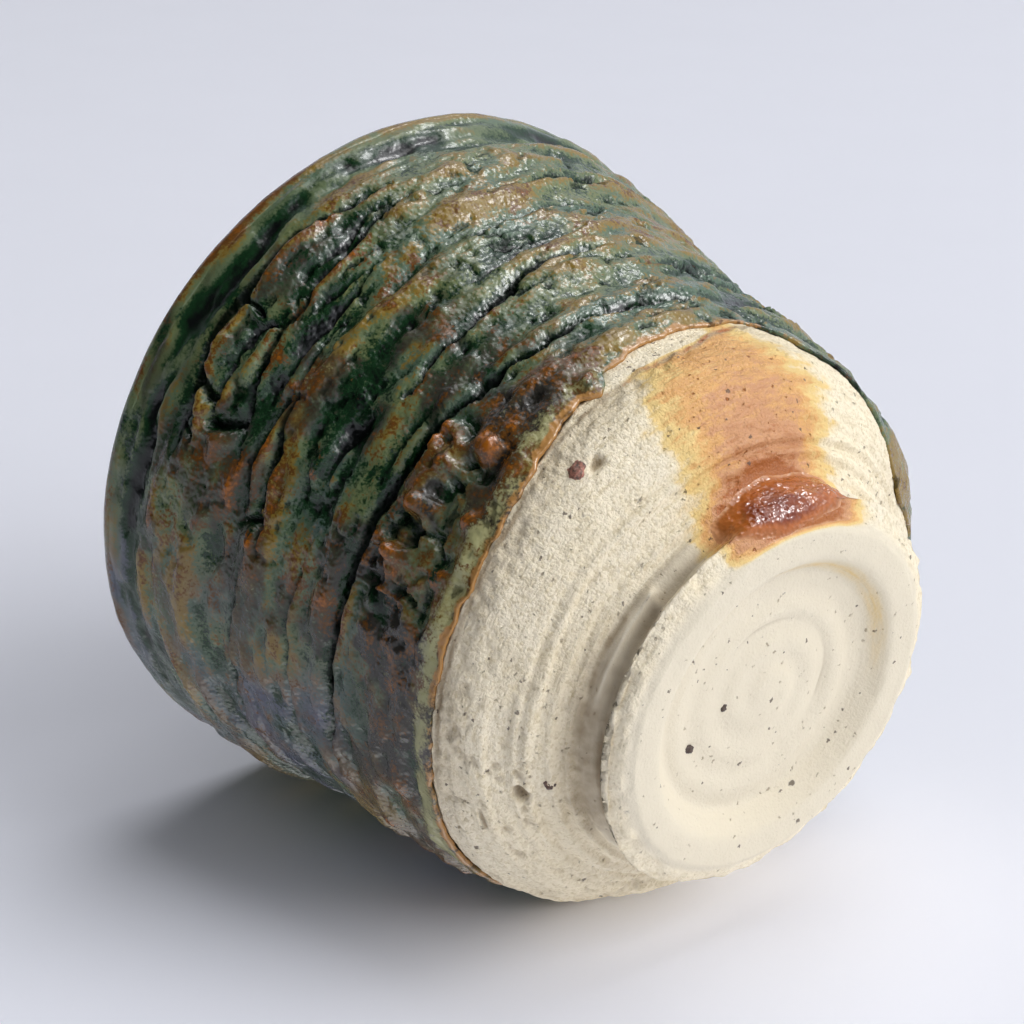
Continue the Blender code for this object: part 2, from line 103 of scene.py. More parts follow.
# Grooves carved in the wall: how deep, then (bearing, height, half width) along the run, in degrees and mm.
CARVED_GROOVES = (
    (1.2, ((-66, 23.4, 0.15), (-50, 22.8, 0.3), (-32, 22.5, 0.42), (-15, 22.3, 0.5), (0, 21.9, 0.45),
           (12, 21.3, 0.38), (25, 20.6, 0.34), (40, 20.1, 0.32), (50, 19.7, 0.3), (62, 18.7, 0.15))),
    (0.9, ((6, 25.5, 0.12), (14, 25.7, 0.22), (22, 25.9, 0.38), (28, 26.4, 0.42), (35, 27.1, 0.42),
           (42, 27.7, 0.38), (48, 27.8, 0.3), (56, 27.4, 0.12))),
    (0.5, ((30, 29.3, 0.1), (38, 29.6, 0.22), (46, 29.9, 0.24), (55, 30.3, 0.1))),
    (1.3, ((-25.5, 34.1, 0.2), (-20, 34.3, 0.45), (-12, 34.4, 0.45), (-6, 34.5, 0.38), (-4, 34.6, 0.12))),
    (0.9, ((-29, 31.1, 0.2), (-23, 32.0, 0.42), (-16, 32.5, 0.32), (-9, 33.1, 0.26), (-4, 33.8, 0.3),
           (2, 34.5, 0.22), (11, 34.9, 0.12))),
    (0.8, ((-24, 32.1, 0.4), (-25.4, 34.0, 0.3))),
    (0.9, ((-17, 36.2, 0.15), (-10, 36.9, 0.26), (-4, 37.7, 0.3), (3, 38.2, 0.32), (10, 38.3, 0.3),
           (18, 38.9, 0.3), (26, 39.5, 0.26), (35, 40.0, 0.1))),
    (0.6, ((-5, 35.7, 0.1), (4, 35.6, 0.24), (9, 35.7, 0.28), (15, 35.9, 0.22), (20, 36.1, 0.1))),
    (0.5, ((6, 37.8, 0.1), (10, 37.3, 0.2), (16, 36.8, 0.2), (23, 36.2, 0.1))),
    (1.1, ((-22, 42.2, 0.2), (-14, 42.3, 0.42), (-9, 42.9, 0.55), (-4, 43.6, 0.55), (3, 43.5, 0.48),
           (10, 43.3, 0.45), (17, 43.5, 0.5), (22, 43.1, 0.45), (27, 42.4, 0.36), (33, 42.0, 0.12))),
    (0.9, ((-9.5, 42.6, 0.45), (-11, 41.0, 0.5), (-10, 39.8, 0.35))),
    (0.8, ((4, 43.2, 0.32), (4.6, 42.0, 0.26), (4, 40.4, 0.2))),
    (0.7, ((-17, 42.0, 0.3), (-19, 40.8, 0.2))),
    (1.0, ((-14, 39.6, 0.5), (-13.5, 38.2, 0.6), (-12, 37.0, 0.3))),
    (0.7, ((-13, 39.8, 0.2), (-8, 39.9, 0.3), (-3, 40.3, 0.22), (1, 40.2, 0.25), (3, 39.6, 0.3),
           (4.5, 38.6, 0.2))),
    (0.6, ((13, 40.0, 0.2), (20, 39.7, 0.3), (25, 40.3, 0.25), (31, 40.6, 0.15))),
    (0.5, ((-62, 27.3, 0.1), (-50, 27.2, 0.25), (-38, 27.5, 0.25), (-28, 27.0, 0.2))),
    (0.5, ((-70, 35.0, 0.1), (-55, 34.6, 0.25), (-40, 33.2, 0.3), (-31, 32.6, 0.15))),
    (0.5, ((36, 33.6, 0.1), (44, 33.9, 0.22), (58, 34.0, 0.25), (72, 33.6, 0.12))),
    (0.6, ((48, 37.0, 0.1), (58, 37.4, 0.3), (70, 38.0, 0.3), (84, 37.6, 0.12))),
    (0.7, ((58, 24.6, 0.12), (70, 25.0, 0.3), (84, 24.4, 0.3), (98, 24.0, 0.15))),
)

# Heights of the grooves on the far side, and the bearings that they start near.
BACK_HEIGHTS = (17.5, 20.5, 22.4, 25.0, 27.6, 31.0, 34.8, 37.5, 40.5, 43.6)
BACK_STARTS = (78, 125, 175, 225)

# Pools of thick glaze: bearing, height, half length, half height in mm, and how much darker than the rest.
GLAZE_POOLS = (
    (-9, 26.6, 3.4, 0.7, 1.0), (-4, 27.6, 2.4, 0.9, 1.0), (-17, 27.2, 0.8, 1.3, 0.9),
    (5, 28.4, 2.2, 0.9, 0.6), (-26, 45.8, 7.5, 0.9, 0.85), (30, 45.9, 9.0, 0.9, 0.5),
    (8, 45.3, 6.0, 0.6, 0.5), (-50, 45.6, 9.0, 0.8, 0.4), (-27, 18.4, 1.6, 0.9, 0.9),
    (-20, 19.4, 0.9, 1.0, 0.9), (-10, 19.2, 0.8, 1.3, 0.9), (-2.8, 18.2, 0.8, 1.4, 0.9),
    (-12, 14.2, 1.0, 0.8, 0.6), (8, 19.2, 1.2, 0.9, 0.8), (4.5, 17.4, 0.8, 0.9, 0.7),
    (-9, 16.2, 2.0, 0.6, 0.5), (17, 29.4, 0.6, 0.9, 1.0), (36, 33.8, 3.6, 0.5, 0.5),
    (56, 16.4, 0.6, 0.9, 1.0), (63, 15.7, 1.0, 0.35, 1.0), (47, 17.4, 0.45, 0.4, 0.9),
    (-36, 43.0, 1.2, 1.6, 0.5), (28, 17.9, 1.6, 1.0, 0.35), (34, 19.0, 1.4, 0.7, 0.4),
)

# Lumps and nodules under the glaze: bearing, height, half length, half height, rise in mm, and how rusty.
GLAZE_LUMPS = (
    (-10, 28.8, 2.2, 0.8, 0.6, 1.0), (2, 28.9, 1.5, 0.6, 0.4, 0.9), (21, 29.3, 1.0, 1.0, 0.55, 1.0),
    (-15.5, 14.6, 1.3, 1.0, 0.55, 1.0), (-4.2, 14.1, 1.0, 0.9, 0.55, 1.0), (-24.5, 19.0, 1.5, 1.4, 0.5, 0.7),
    (-15.5, 18.6, 1.0, 1.8, 0.6, 0.6), (-6.5, 18.6, 0.9, 1.7, 0.6, 0.6), (1.0, 18.3, 1.0, 1.7, 0.6, 0.6),
    (7, 16.7, 0.9, 1.2, 0.5, 0.5), (26.8, 14.5, 1.0, 0.7, 0.6, 0.9), (-27.5, 32.4, 1.5, 0.8, 0.45, 0.9),
    (-15.5, 41.2, 1.5, 1.0, 0.4, 0.3), (-3, 41.8, 2.4, 1.1, 0.4, 0.3), (13, 41.7, 4.2, 1.4, 0.4, 0.3),
    (-18, 35.4, 3.4, 0.5, 0.3, 0.7), (-14, 33.5, 4.0, 0.4, 0.3, 0.7), (0, 36.8, 3.0, 0.6, 0.3, 0.5),
    (22, 37.4, 4.0, 0.6, 0.3, 0.5), (-12, 20.9, 3.0, 0.5, 0.4, 0.9), (3, 20.6, 3.5, 0.5, 0.35, 0.8),
)

# Lower edge of the glaze and the step that trimming left in the clay below it: (bearing, height).
GLAZE_LINE = (
    (-180, 12.3), (-150, 11.8), (-120, 12.4), (-98, 13.2), (-80, 13.2), (-68, 12.6), (-58, 12.1),
    (-47, 11.8), (-30, 11.8), (-16, 11.6), (-2, 11.8), (8, 12.5), (18, 13.4), (23.5, 14.0), (25, 13.8),
    (27, 13.5), (29, 14.0), (30.5, 15.0), (36, 15.2), (44, 15.5), (52, 15.5), (56, 15.2), (62, 15.5),
    (67, 15.1), (73, 14.4), (81, 12.0), (89, 10.0), (96, 8.7), (103, 7.2), (111, 6.6), (122, 7.2),
    (138, 9.4), (158, 11.8), (180, 12.3),
)
TRIM_STEP = (
    (-180, 11.0), (-98, 12.4), (-80, 12.7), (-68, 12.1), (-58, 11.7), (-47, 11.4), (-30, 11.4), (-16, 11.3),
    (-2, 11.5), (8, 12.1), (18, 12.9), (25, 13.2), (30, 13.3), (38, 13.3), (49, 13.6), (55, 14.5), (60, 14.9),
    (66, 15.0), (90, 9.6), (103, 7.0), (111, 6.4), (122, 7.0), (138, 9.2), (180, 11.0),
)

# Gouges left by grit that the tool dragged: bearing, height, half length, half height and depth in mm.
CLAY_GOUGES = ((16.8, 9.6, 0.9, 0.55, 0.7), (-57, 6.6, 1.3, 0.45, 0.8), (-62, 8.8, 1.6, 0.2, 0.15))

# Turning lines round the waist and lower belly: height, half height, rise (below zero for a groove) and seed.
WAIST_LINES = (
    (1.9, 0.16, -0.12, 201), (2.5, 0.14, 0.2, 205), (2.85, 0.12, -0.25, 209), (4.15, 0.3, -0.45, 213),
    (4.75, 0.16, 0.2, 217), (5.1, 0.14, -0.26, 221), (5.5, 0.18, 0.2, 225), (5.95, 0.14, -0.32, 229),
    (6.3, 0.18, 0.2, 233), (6.7, 0.14, -0.2, 237),
)

# Soft rings of the glazed wall: height, depth (below zero for a swell) and half height.
WALL_RINGS = ((22.4, 0.3, 1.2), (27.6, 0.3, 1.4), (34.8, 0.35, 1.4), (45.3, 0.5, 1.6), (40.5, -0.45, 4.0))

# Stones in the clay: CAD node, the seed of its shape, how red it is and its share of the node's size.
STONES = (("hip_stone", 11, 1.0, 0.85), ("waist_stone", 23, 0.25, 0.66), ("foot_stone_inner", 37, 0.0, 0.6),
          ("foot_stone_outer", 41, 0.0, 0.6))

# The photograph's camera in the cup's frame and the floor that the cup lies on there, in mm; how far the
# floor reaches is in m.
CAMERA_PLACE = (0.0, -162.2, -110.1)
CAMERA_FORWARD = (0.0019, 0.7493, 0.6622)
CAMERA_UP = (0.8241, -0.3762, 0.4234)
CAMERA_LENS = 90.0
CAMERA_SENSOR = 36.0
FLOOR_NORMAL = (0.7658, -0.6253, 0.1504)
FLOOR_OFFSET = -22.18
FLOOR_REACH = 2.0

# Way to the side of the studio that has no window, left of the picture and up, in the cup's frame.
UNLIT_SIDE = (0.0, -0.96, 0.28)

# Lamps round a point on the cup's axis, at a height in mm and a distance in m: name, turn from the picture's
# right towards the camera, rise over the floor, and width in m.
LAMP_AIM = 25.0
LAMP_DISTANCE = 2.0
STUDIO_LAMPS = (("window_bright", 26, 35, 1.1), ("window_spark", 12, 34, 0.6), ("window_high", -50, 61, 0.4),
                ("window_low", 14, 26, 1.8), ("window_near", 62, 36, 1.6), ("window_far", -40, 74, 1.5),
                ("under_fill", 0, -90, 2.0))
LAMPS_THAT_ONLY_GLINT = ("window_spark", "window_high")
LAMP_WITHOUT_GLINT = "window_near"


def linear(code):
    """Linear colour of an sRGB hex code: c / 12.92 up to 0.04045, else ((c + 0.055) / 1.055) to 2.4."""
    values = [int(code[i:i + 2], 16) / 255 for i in (1, 3, 5)]
    return tuple(v / 12.92 if v <= 0.04045 else ((v + 0.055) / 1.055) ** 2.4 for v in values)


def length(name, description, mm):
    """A length property in metres, given in millimetres."""
    return bpy.props.FloatProperty(
        name=name, description=description, default=mm * MM, unit="LENGTH", precision=5)


def colour(name, description, code):
    """A colour property, given as an sRGB hex code."""
    return bpy.props.FloatVectorProperty(
        name=name, description=description, default=linear(code), size=3, min=0, max=1, subtype="COLOR")


def power(name, description, watts):
    """A lamp power property in watts."""
    return bpy.props.FloatProperty(name=name, description=description, default=watts, min=0, unit="POWER")


class CupSizes(bpy.types.PropertyGroup):
    """Sizes of the cup, as the CAD part has them."""

    lip_diameter: length("Lip diameter", "Across the lip, over the glaze", (CAD_BOX[1].x - CAD_BOX[0].x) / MM)
    height: length("Height", "From the foot's face to the lip", (CAD_BOX[1].z - CAD_BOX[0].z) / MM)
    lip_thickness: length("Lip thickness", "Wall thickness at the lip", 3.6)
    foot_diameter: length("Foot diameter", "Across the foot's outer edge", 33.4)
    foot_face_diameter: length("Foot face diameter", "Across the flat ring that the cup stands on", 28.8)
    foot_edge_height: length("Foot edge height", "Height of the foot's outer edge over its face", 1.1)
    waist_diameter: length("Waist diameter", "Across the groove above the foot", 31.8)
    waist_height: length("Waist height", "Height of the groove above the foot", 3.2)
    belly_start_diameter: length("Belly start diameter", "Across the bottom of the belly", 34.0)
    belly_start_height: length("Belly start height", "Height of the bottom of the belly", 4.8)
    hip_diameter: length("Hip diameter", "Across the turn from belly to wall", 48.4)
    hip_height: length("Hip height", "Height of the turn from belly to wall", 12.4)
    recess_diameter: length("Recess diameter", "Across the hollow turned in the foot", 24.0)
    recess_floor_diameter: length("Recess floor diameter", "Across the floor of that hollow", 20.6)
    recess_depth: length("Recess depth", "Depth of that hollow", 1.7)
    boss_height: length("Boss height", "Rise left at the middle of that hollow", 0.5)
    floor_height: length("Floor height", "Height of the cup's inside floor", 7.8)
    floor_flat_radius: length("Floor flat radius", "Radius of the flat middle of that floor", 8.0)
    corner_height: length("Corner height", "Height at which the inside corner becomes the wall", 18.0)
    corner_radius: length("Corner radius", "Inside radius at that height", 20.4)
    coat: length("Glaze coat", "Thickness of the glaze at its lower edge", 0.45)


class CupColours(bpy.types.PropertyGroup):
    """Colours of the clay and its coats."""

    clay: colour("Clay", "Fired buff stoneware", "#f2e4c6")
    clay_pale: colour("Pale clay", "Clay smoothed by the turning tool", "#f5ebd6")
    clay_slip: colour("Clay slip", "Fine clay that the tool smoothed over the foot", "#e0d6c1")
    # Darker clay of the tears, and also painted shade in the hollows, pits, pinholes, gouges, waist and under
    # the step.
    clay_tear_and_shade: colour("Clay hollows", "Clay in tears and tool marks", "#9c8a70")
    clay_worn: colour("Worn clay", "Clay between its grains of sand", "#d8c8a5")
    grit: colour("Grit", "Iron specks in the clay", "#4b3c32")
    flash_yellow: colour("Flash yellow", "Thin edge of the fire flash", "#e7c988")
    flash_orange: colour("Flash orange", "Middle of the fire flash", "#dca767")
    flash_brown: colour("Flash brown", "Strongest part of the fire flash", "#cc9569")
    # Scorched clay round the glass and on the glass's edge, also painted shadow along the step and in
    # pinholes.
    flash_scorch_and_shade: colour("Flash scorch", "Scorched clay round the glass", "#a96430")
    glass_amber: colour("Glass amber", "Thinner glass", "#b3642a")
    glass: colour("Flash glass", "Fused red-brown glass", "#7a3418")
    glaze_rust: colour("Glaze rust", "Glaze so thin that the iron shows", "#5e3c14")
    glaze_ochre: colour("Glaze ochre", "Thin glaze on the ridges", "#826a2a")
    glaze_sage: colour("Glaze sage", "Common pale green of the glaze", "#66714a")
    glaze_teal: colour("Glaze teal", "Cool grey-green of the glaze", "#4c6450")
    glaze_bottle: colour("Glaze bottle green", "Thick pooled glaze", "#0d2f14")
    # Deepest glaze in the grooves, which the matte black there also uses as painted shade.
    glaze_black: colour("Glaze black", "Deepest glaze in the grooves", "#030605")
    glaze_orange: colour("Glaze orange", "Iron nodules in the glaze", "#96560f")
    glaze_edge: colour("Glaze edge", "Iron line along the glaze's lower edge", "#ab7d45")
    glaze_umber: colour("Glaze umber", "Dark iron-rich clouds in the glaze", "#302d27")
    glaze_pale: colour("Glaze pale", "Thin pale green band over the glaze's edge", "#9c9a6e")
    # An opalescent blue-grey of the glaze, which on its shaded side is also painted cool sheen of the pale
    # surroundings.
    glaze_haze_and_sheen: colour("Glaze lavender", "Blue-grey haze on the glaze", "#53556a")
    stone: colour("Stone", "Iron-bearing stone", "#a86f5d")
    floor: colour("Floor", "Pale paper floor", "#eff1fc")
    backdrop: colour("Backdrop", "What shows beyond the floor", "#e4e8f4")


class StageLight(bpy.types.PropertyGroup):
    """Strength of the studio light."""

    window_bright: power("Bright window", "Power of the lamp that gives the crisp shadows", 12.0)
    window_spark: power("Spark window", "Power of the low lamp that only glints on glossy faces", 22.0)
    window_high: power("High window", "Power of the high lamp that only glints on glossy faces", 8.5)
    window_low: power("Low window", "Power of the wide lamp on the right", 18.0)
    window_near: power("Near window", "Power of the wide lamp on the right of the camera", 10.4)
    window_far: power("Far window", "Power of the wide lamp behind on the right", 17.5)
    under_fill: power("Under fill", "Power of the lamp for the side that lies on the floor", 13.5)
    ambient: bpy.props.FloatProperty(
        name="Ambient", description="Strength of the sky light", default=0.08, min=0)


def in_mm():
    """The scene's cup sizes as a plain dict in millimetres."""
    sizes = bpy.context.scene.cup_sizes
    return {key: getattr(sizes, key) / MM for key in CupSizes.__annotations__}


def smooth(low, high, x):
    """0 below low, 1 above high and t²(3 - 2t) between, t being the share of the way."""
    t = np.clip((x - low) / (high - low), 0, 1)
    return t * t * (3 - 2 * t)


def between(x, start, full, fade, end):
    """0 below start, 1 from full to fade and 0 above end, by smooth steps."""
    return smooth(start, full, x) * (1 - smooth(fade, end, x))


def bell(x, middle, half, steepness=2):
    """exp(-|(x - middle) / half| to the steepness): 1 at the middle and 0.37 a half width from it."""
    return np.exp(-np.abs((x - middle) / half) ** steepness)


def squeezed(points, share):
    """Points with their heights multiplied, so that noise on them is drawn out along the bearing."""
    return points * np.array([1, 1, share])


def cell_value(cell, seed):
    """A repeatable value from 0 to 1 for each whole-number cell, by an integer hash of its three indices."""
    mixed = cell[..., 0] * 73856093 ^ cell[..., 1] * 19349663 ^ cell[..., 2] * 83492791 ^ (seed * 2654435761)
    mixed = (mixed & 0xFFFFFFFF) * 2246822519 & 0xFFFFFFFF
    mixed = (mixed ^ (mixed >> 15)) * 3266489917 & 0xFFFFFFFF
    return ((mixed ^ (mixed >> 13)) & 0xFFFFFF) / 0xFFFFFF


def noise(points, size, seed):
    """Smooth noise from -1 to 1: the values of the eight cell corners round a point, in quintic shares."""
    place = points / size
    cell = np.floor(place).astype(np.int64)
    share = place - cell
    share = share ** 3 * (share * (share * 6 - 15) + 10)
    total = np.zeros(points.shape[:-1])
    for corner in itertools.product((0, 1), repeat=3):
        weight = np.prod(np.where(corner, share, 1 - share), axis=-1)
        total += weight * cell_value(cell + np.array(corner), seed)
    return 2 * total - 1


def layered_noise(points, size, layers, seed):
    """Noise plus half as much at half the size, and so on, brought back to about -1 to 1."""
    sizes = [size / 2 ** i for i in range(layers)]
    total = sum(noise(points, s, seed + i) / 2 ** i for i, s in enumerate(sizes))
    return total / sum(0.6 / 2 ** i for i in range(layers))


def seam_gap(points, size, seed):
    """Cells by which the second nearest of one scattered seed per cell is farther: 0 on the lumps' seams."""
    place = points / size
    cell = np.floor(place).astype(np.int64)
    near = np.full(points.shape[:-1], 9.0)
    second = near.copy()
    for step in itertools.product((-1, 0, 1), repeat=3):
        other = cell + np.array(step)
        spot = np.stack([cell_value(other, seed + k) for k in range(3)], -1) + other
        distance = np.linalg.norm(place - spot, axis=-1)
        second = np.minimum(second, np.maximum(near, distance))
        near = np.minimum(near, distance)
    return second - near


def bearings(columns):
    """Bearings from -180 degrees on, spaced by the inverse of a density that is 2.2 times higher in front."""
    fine = np.linspace(-180, 180, 7201)
    density = 1 + 1.2 * between(fine, -112, -88, 102, 126)
    share = np.concatenate([[0], np.cumsum(density[:-1])])
    return np.interp(np.linspace(0, 1, columns, endpoint=False), share / share[-1], fine)


def turned(bearing, radius, height):
    """Points (radius sin bearing, -radius cos bearing, height)."""
    angle = np.radians(bearing)
    return np.stack(np.broadcast_arrays(radius * np.sin(angle), -radius * np.cos(angle), height), -1)


def along_line(line, bearing):
    """Height of a (bearing, height) line at each bearing, by straight steps."""
    points = np.array(line)
    return np.interp((bearing + 180) % 360 - 180, points[:, 0], points[:, 1])


def from_spot(arc, height, arc_radius, bearing, middle, half, tall):
    """Distance from a spot in half lengths along the bearing and half heights up: 1 on the spot's edge."""
    return np.hypot((arc - np.radians(bearing) * arc_radius) / half, (height - middle) / tall)


def put_surface(name, points, values, loop=False):
    """Closed mesh object of a (rows, columns, 3) grid in millimetres whose columns close round.

    With loop the last row joins the first. Otherwise a vertex at the mean of each end row closes that end.
    Values are per-vertex attributes, given as (rows, columns) grids. Faces are turned to face out.
    """
    rows, columns = points.shape[:2]
    grid = np.arange(rows * columns).reshape(rows, columns)
    lower = grid if loop else grid[:-1]
    upper = np.roll(grid, -1, 0) if loop else grid[1:]
    quads = np.stack([lower, np.roll(lower, -1, 1), np.roll(upper, -1, 1), upper], -1).reshape(-1, 4)
    ends = [] if loop else [0, rows - 1]
    vertices = np.concatenate([points.reshape(-1, 3)] + [points[[end]].mean(1) for end in ends])
    fans = [np.stack([np.full(columns, rows * columns + i), np.roll(grid[end], -1 + 2 * i), grid[end]], -1)
            for i, end in enumerate(ends)]
    fans = np.concatenate(fans) if fans else np.zeros((0, 3), int)
    corners = vertices[np.concatenate([quads[:, [0, 1, 2]], quads[:, [0, 2, 3]]])]
    if np.einsum("ij,ij->", corners[:, 0], np.cross(corners[:, 1], corners[:, 2])) < 0:
        quads, fans = quads[:, ::-1], fans[:, ::-1]
    mesh = bpy.data.meshes.new(name)
    mesh.from_pydata((vertices * MM).tolist(), [], quads.tolist() + fans.tolist())
    mesh.polygons.foreach_set("use_smooth", np.ones(len(mesh.polygons), bool))
    for key, value in values.items():
        value = np.broadcast_to(value, (rows, columns))
        full = np.concatenate([value.ravel()] + [[value[end].mean()] for end in ends])
        mesh.attributes.new(key, "FLOAT", "POINT").data.foreach_set("value", full.astype(np.float32))
    if mesh.validate():
        raise RuntimeError(f"{name} has faulty faces")
    piece = bpy.data.objects.new(name, mesh)
    bpy.context.scene.collection.objects.link(piece)
    return piece


def dress(piece, material, node):
    """Gives a piece its material and its slot, has it ride on the cup and stand for its CAD node."""
    piece.data.materials.append(material)
    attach(piece, "root")
    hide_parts(node)


def belly_radius(size, height):
    """The turned belly: a parabola that is upright at the hip and meets the waist at the belly's start."""
    rise = size["hip_height"] - size["belly_start_height"]
    share = np.clip((size["hip_height"] - height) / rise, 0, 1.2)
    return (size["hip_diameter"] - (size["hip_diameter"] - size["belly_start_diameter"]) * share ** 2) / 2


def wall_radius(size, height):
    """The thrown wall over its glaze: a straight flare from hip to lip, less its soft rings."""
    share = (height - size["hip_height"]) / (size["height"] - size["hip_height"])
    hip = size["hip_diameter"] / 2 + 0.4
    flare = hip + (size["lip_diameter"] / 2 - hip) * share
    return flare - sum(depth * bell(height, z, half) for z, depth, half in WALL_RINGS)


def coat_radius(size, height):
    """Outside of the glaze: belly plus coat below the hip, passing smoothly into the wall above it."""
    share = smooth(size["hip_height"] - 1.5, size["hip_height"] + 1.5, height)
    return (1 - share) * (belly_radius(size, height) + size["coat"]) + share * wall_radius(size, height)


def inside_radius(size, height):
    """Inside of the liner: a quarter ellipse from the flat floor up to the corner, then a straight flare."""
    flat, corner = size["floor_flat_radius"], size["corner_height"]
    rise = np.clip((height - size["floor_height"]) / (corner - size["floor_height"]), 0, 1)
    rounded = flat + (size["corner_radius"] - flat) * np.sqrt(1 - (1 - rise) ** 2)
    top = size["lip_diameter"] / 2 - size["lip_thickness"]
    up = np.clip((height - corner) / (size["height"] - corner), 0, 1)
    return rounded + (top - size["corner_radius"]) * up


def rounded_path(corners, rounding):
    """Run, radius and height in steps along straight runs between corners, averaged over the rounding."""
    corners = np.array(corners, float)
    run = np.concatenate([[0], np.cumsum(np.linalg.norm(np.diff(corners, axis=0), axis=1))])
    fine = np.linspace(0, run[-1], int(run[-1] / PATH_STEP))
    window = int(rounding / PATH_STEP) | 1
    pads = ((window // 2, window // 2),)
    kernel = np.ones(window) / window
    lines = [np.interp(fine, run, corners[:, i]) for i in (0, 1)]
    lines = [np.convolve(np.pad(x, pads, "reflect", reflect_type="odd"), kernel, "valid") for x in lines]
    return fine, np.clip(lines[0], 0, None), lines[1]


def clay_path(size):
    """Outline of the clay from the recess's middle over foot and belly, under the glaze and down the inside.

    It is given as run, radius, height and the two parts of its outward normal.
    """
    recess, face = size["recess_diameter"] / 2, size["foot_face_diameter"] / 2
    floor, depth, boss = size["recess_floor_diameter"] / 2, size["recess_depth"], size["boss_height"]
    foot, edge = size["foot_diameter"] / 2, size["foot_edge_height"]
    waist, waist_z = size["waist_diameter"] / 2, size["waist_height"]
    corners = [(0, depth - boss), (1.6, depth - boss * 0.8), (3.2, depth - 0.1), (floor * 0.6, depth + 0.05),
               (floor, depth), (recess, 0.12), (recess + 0.5, 0), (face, 0), (foot, edge + 0.2),
               (foot - 0.12, edge + 0.55), (waist + 0.15, waist_z - 1.0), (waist, waist_z - 0.5),
               (waist + 0.1, waist_z + 0.2)]
    belly = np.arange(size["belly_start_height"], size["hip_height"] + 4.5, 0.3)
    corners += list(zip(coat_radius(size, belly) - size["coat"], belly))
    wall = np.linspace(size["hip_height"] + 5, size["height"] - 3, 8)
    corners += list(zip(wall_radius(size, wall) - 1.6, wall))
    corners.append((size["lip_diameter"] / 2 - 1.8, size["height"] - 1.2))
    inside = np.linspace(size["height"] - 3, size["floor_height"] - 1.4, 9)
    corners += list(zip(inside_radius(size, inside + 1.2) + 1.0, inside))
    corners.append((0, size["floor_height"] - 1.6))
    run, radius, height = rounded_path(corners, 0.25)
    out_r, out_z = np.gradient(height, run), -np.gradient(radius, run)
    lengths = np.maximum(np.hypot(out_r, out_z), 1e-9)
    return run, radius, height, out_r / lengths, out_z / lengths


def fire_flash(bearing, radius, height, ragged):
    """Strength of the fire flash: an oval that narrows and cools upwards, and a scorched one in the waist."""
    half = FLASH_HALF * np.sqrt(np.clip(1 - (np.maximum(height - 5, 0) / 12.0) ** 2, 0.02, 1))
    oval = 1 - smooth(0.15, 1.08, np.abs(bearing - FLASH_MIDDLE) / half + ragged)
    heat = 1 - 0.4 * smooth(4.6, 12.5, height + 5 * ragged)
    flash = oval * heat * smooth(-0.6, 1.0, height + ragged) * (radius > 13.4)
    scorch = np.hypot((bearing - SCORCH_MIDDLE) / SCORCH_HALF, (height - 2.4) / 3.0) + 0.6 * ragged
    flash = flash + 0.75 * (1 - smooth(0.7, 1.2, scorch)) * (radius > 13.8)
    return flash * smooth(0.05, 0.45, height)


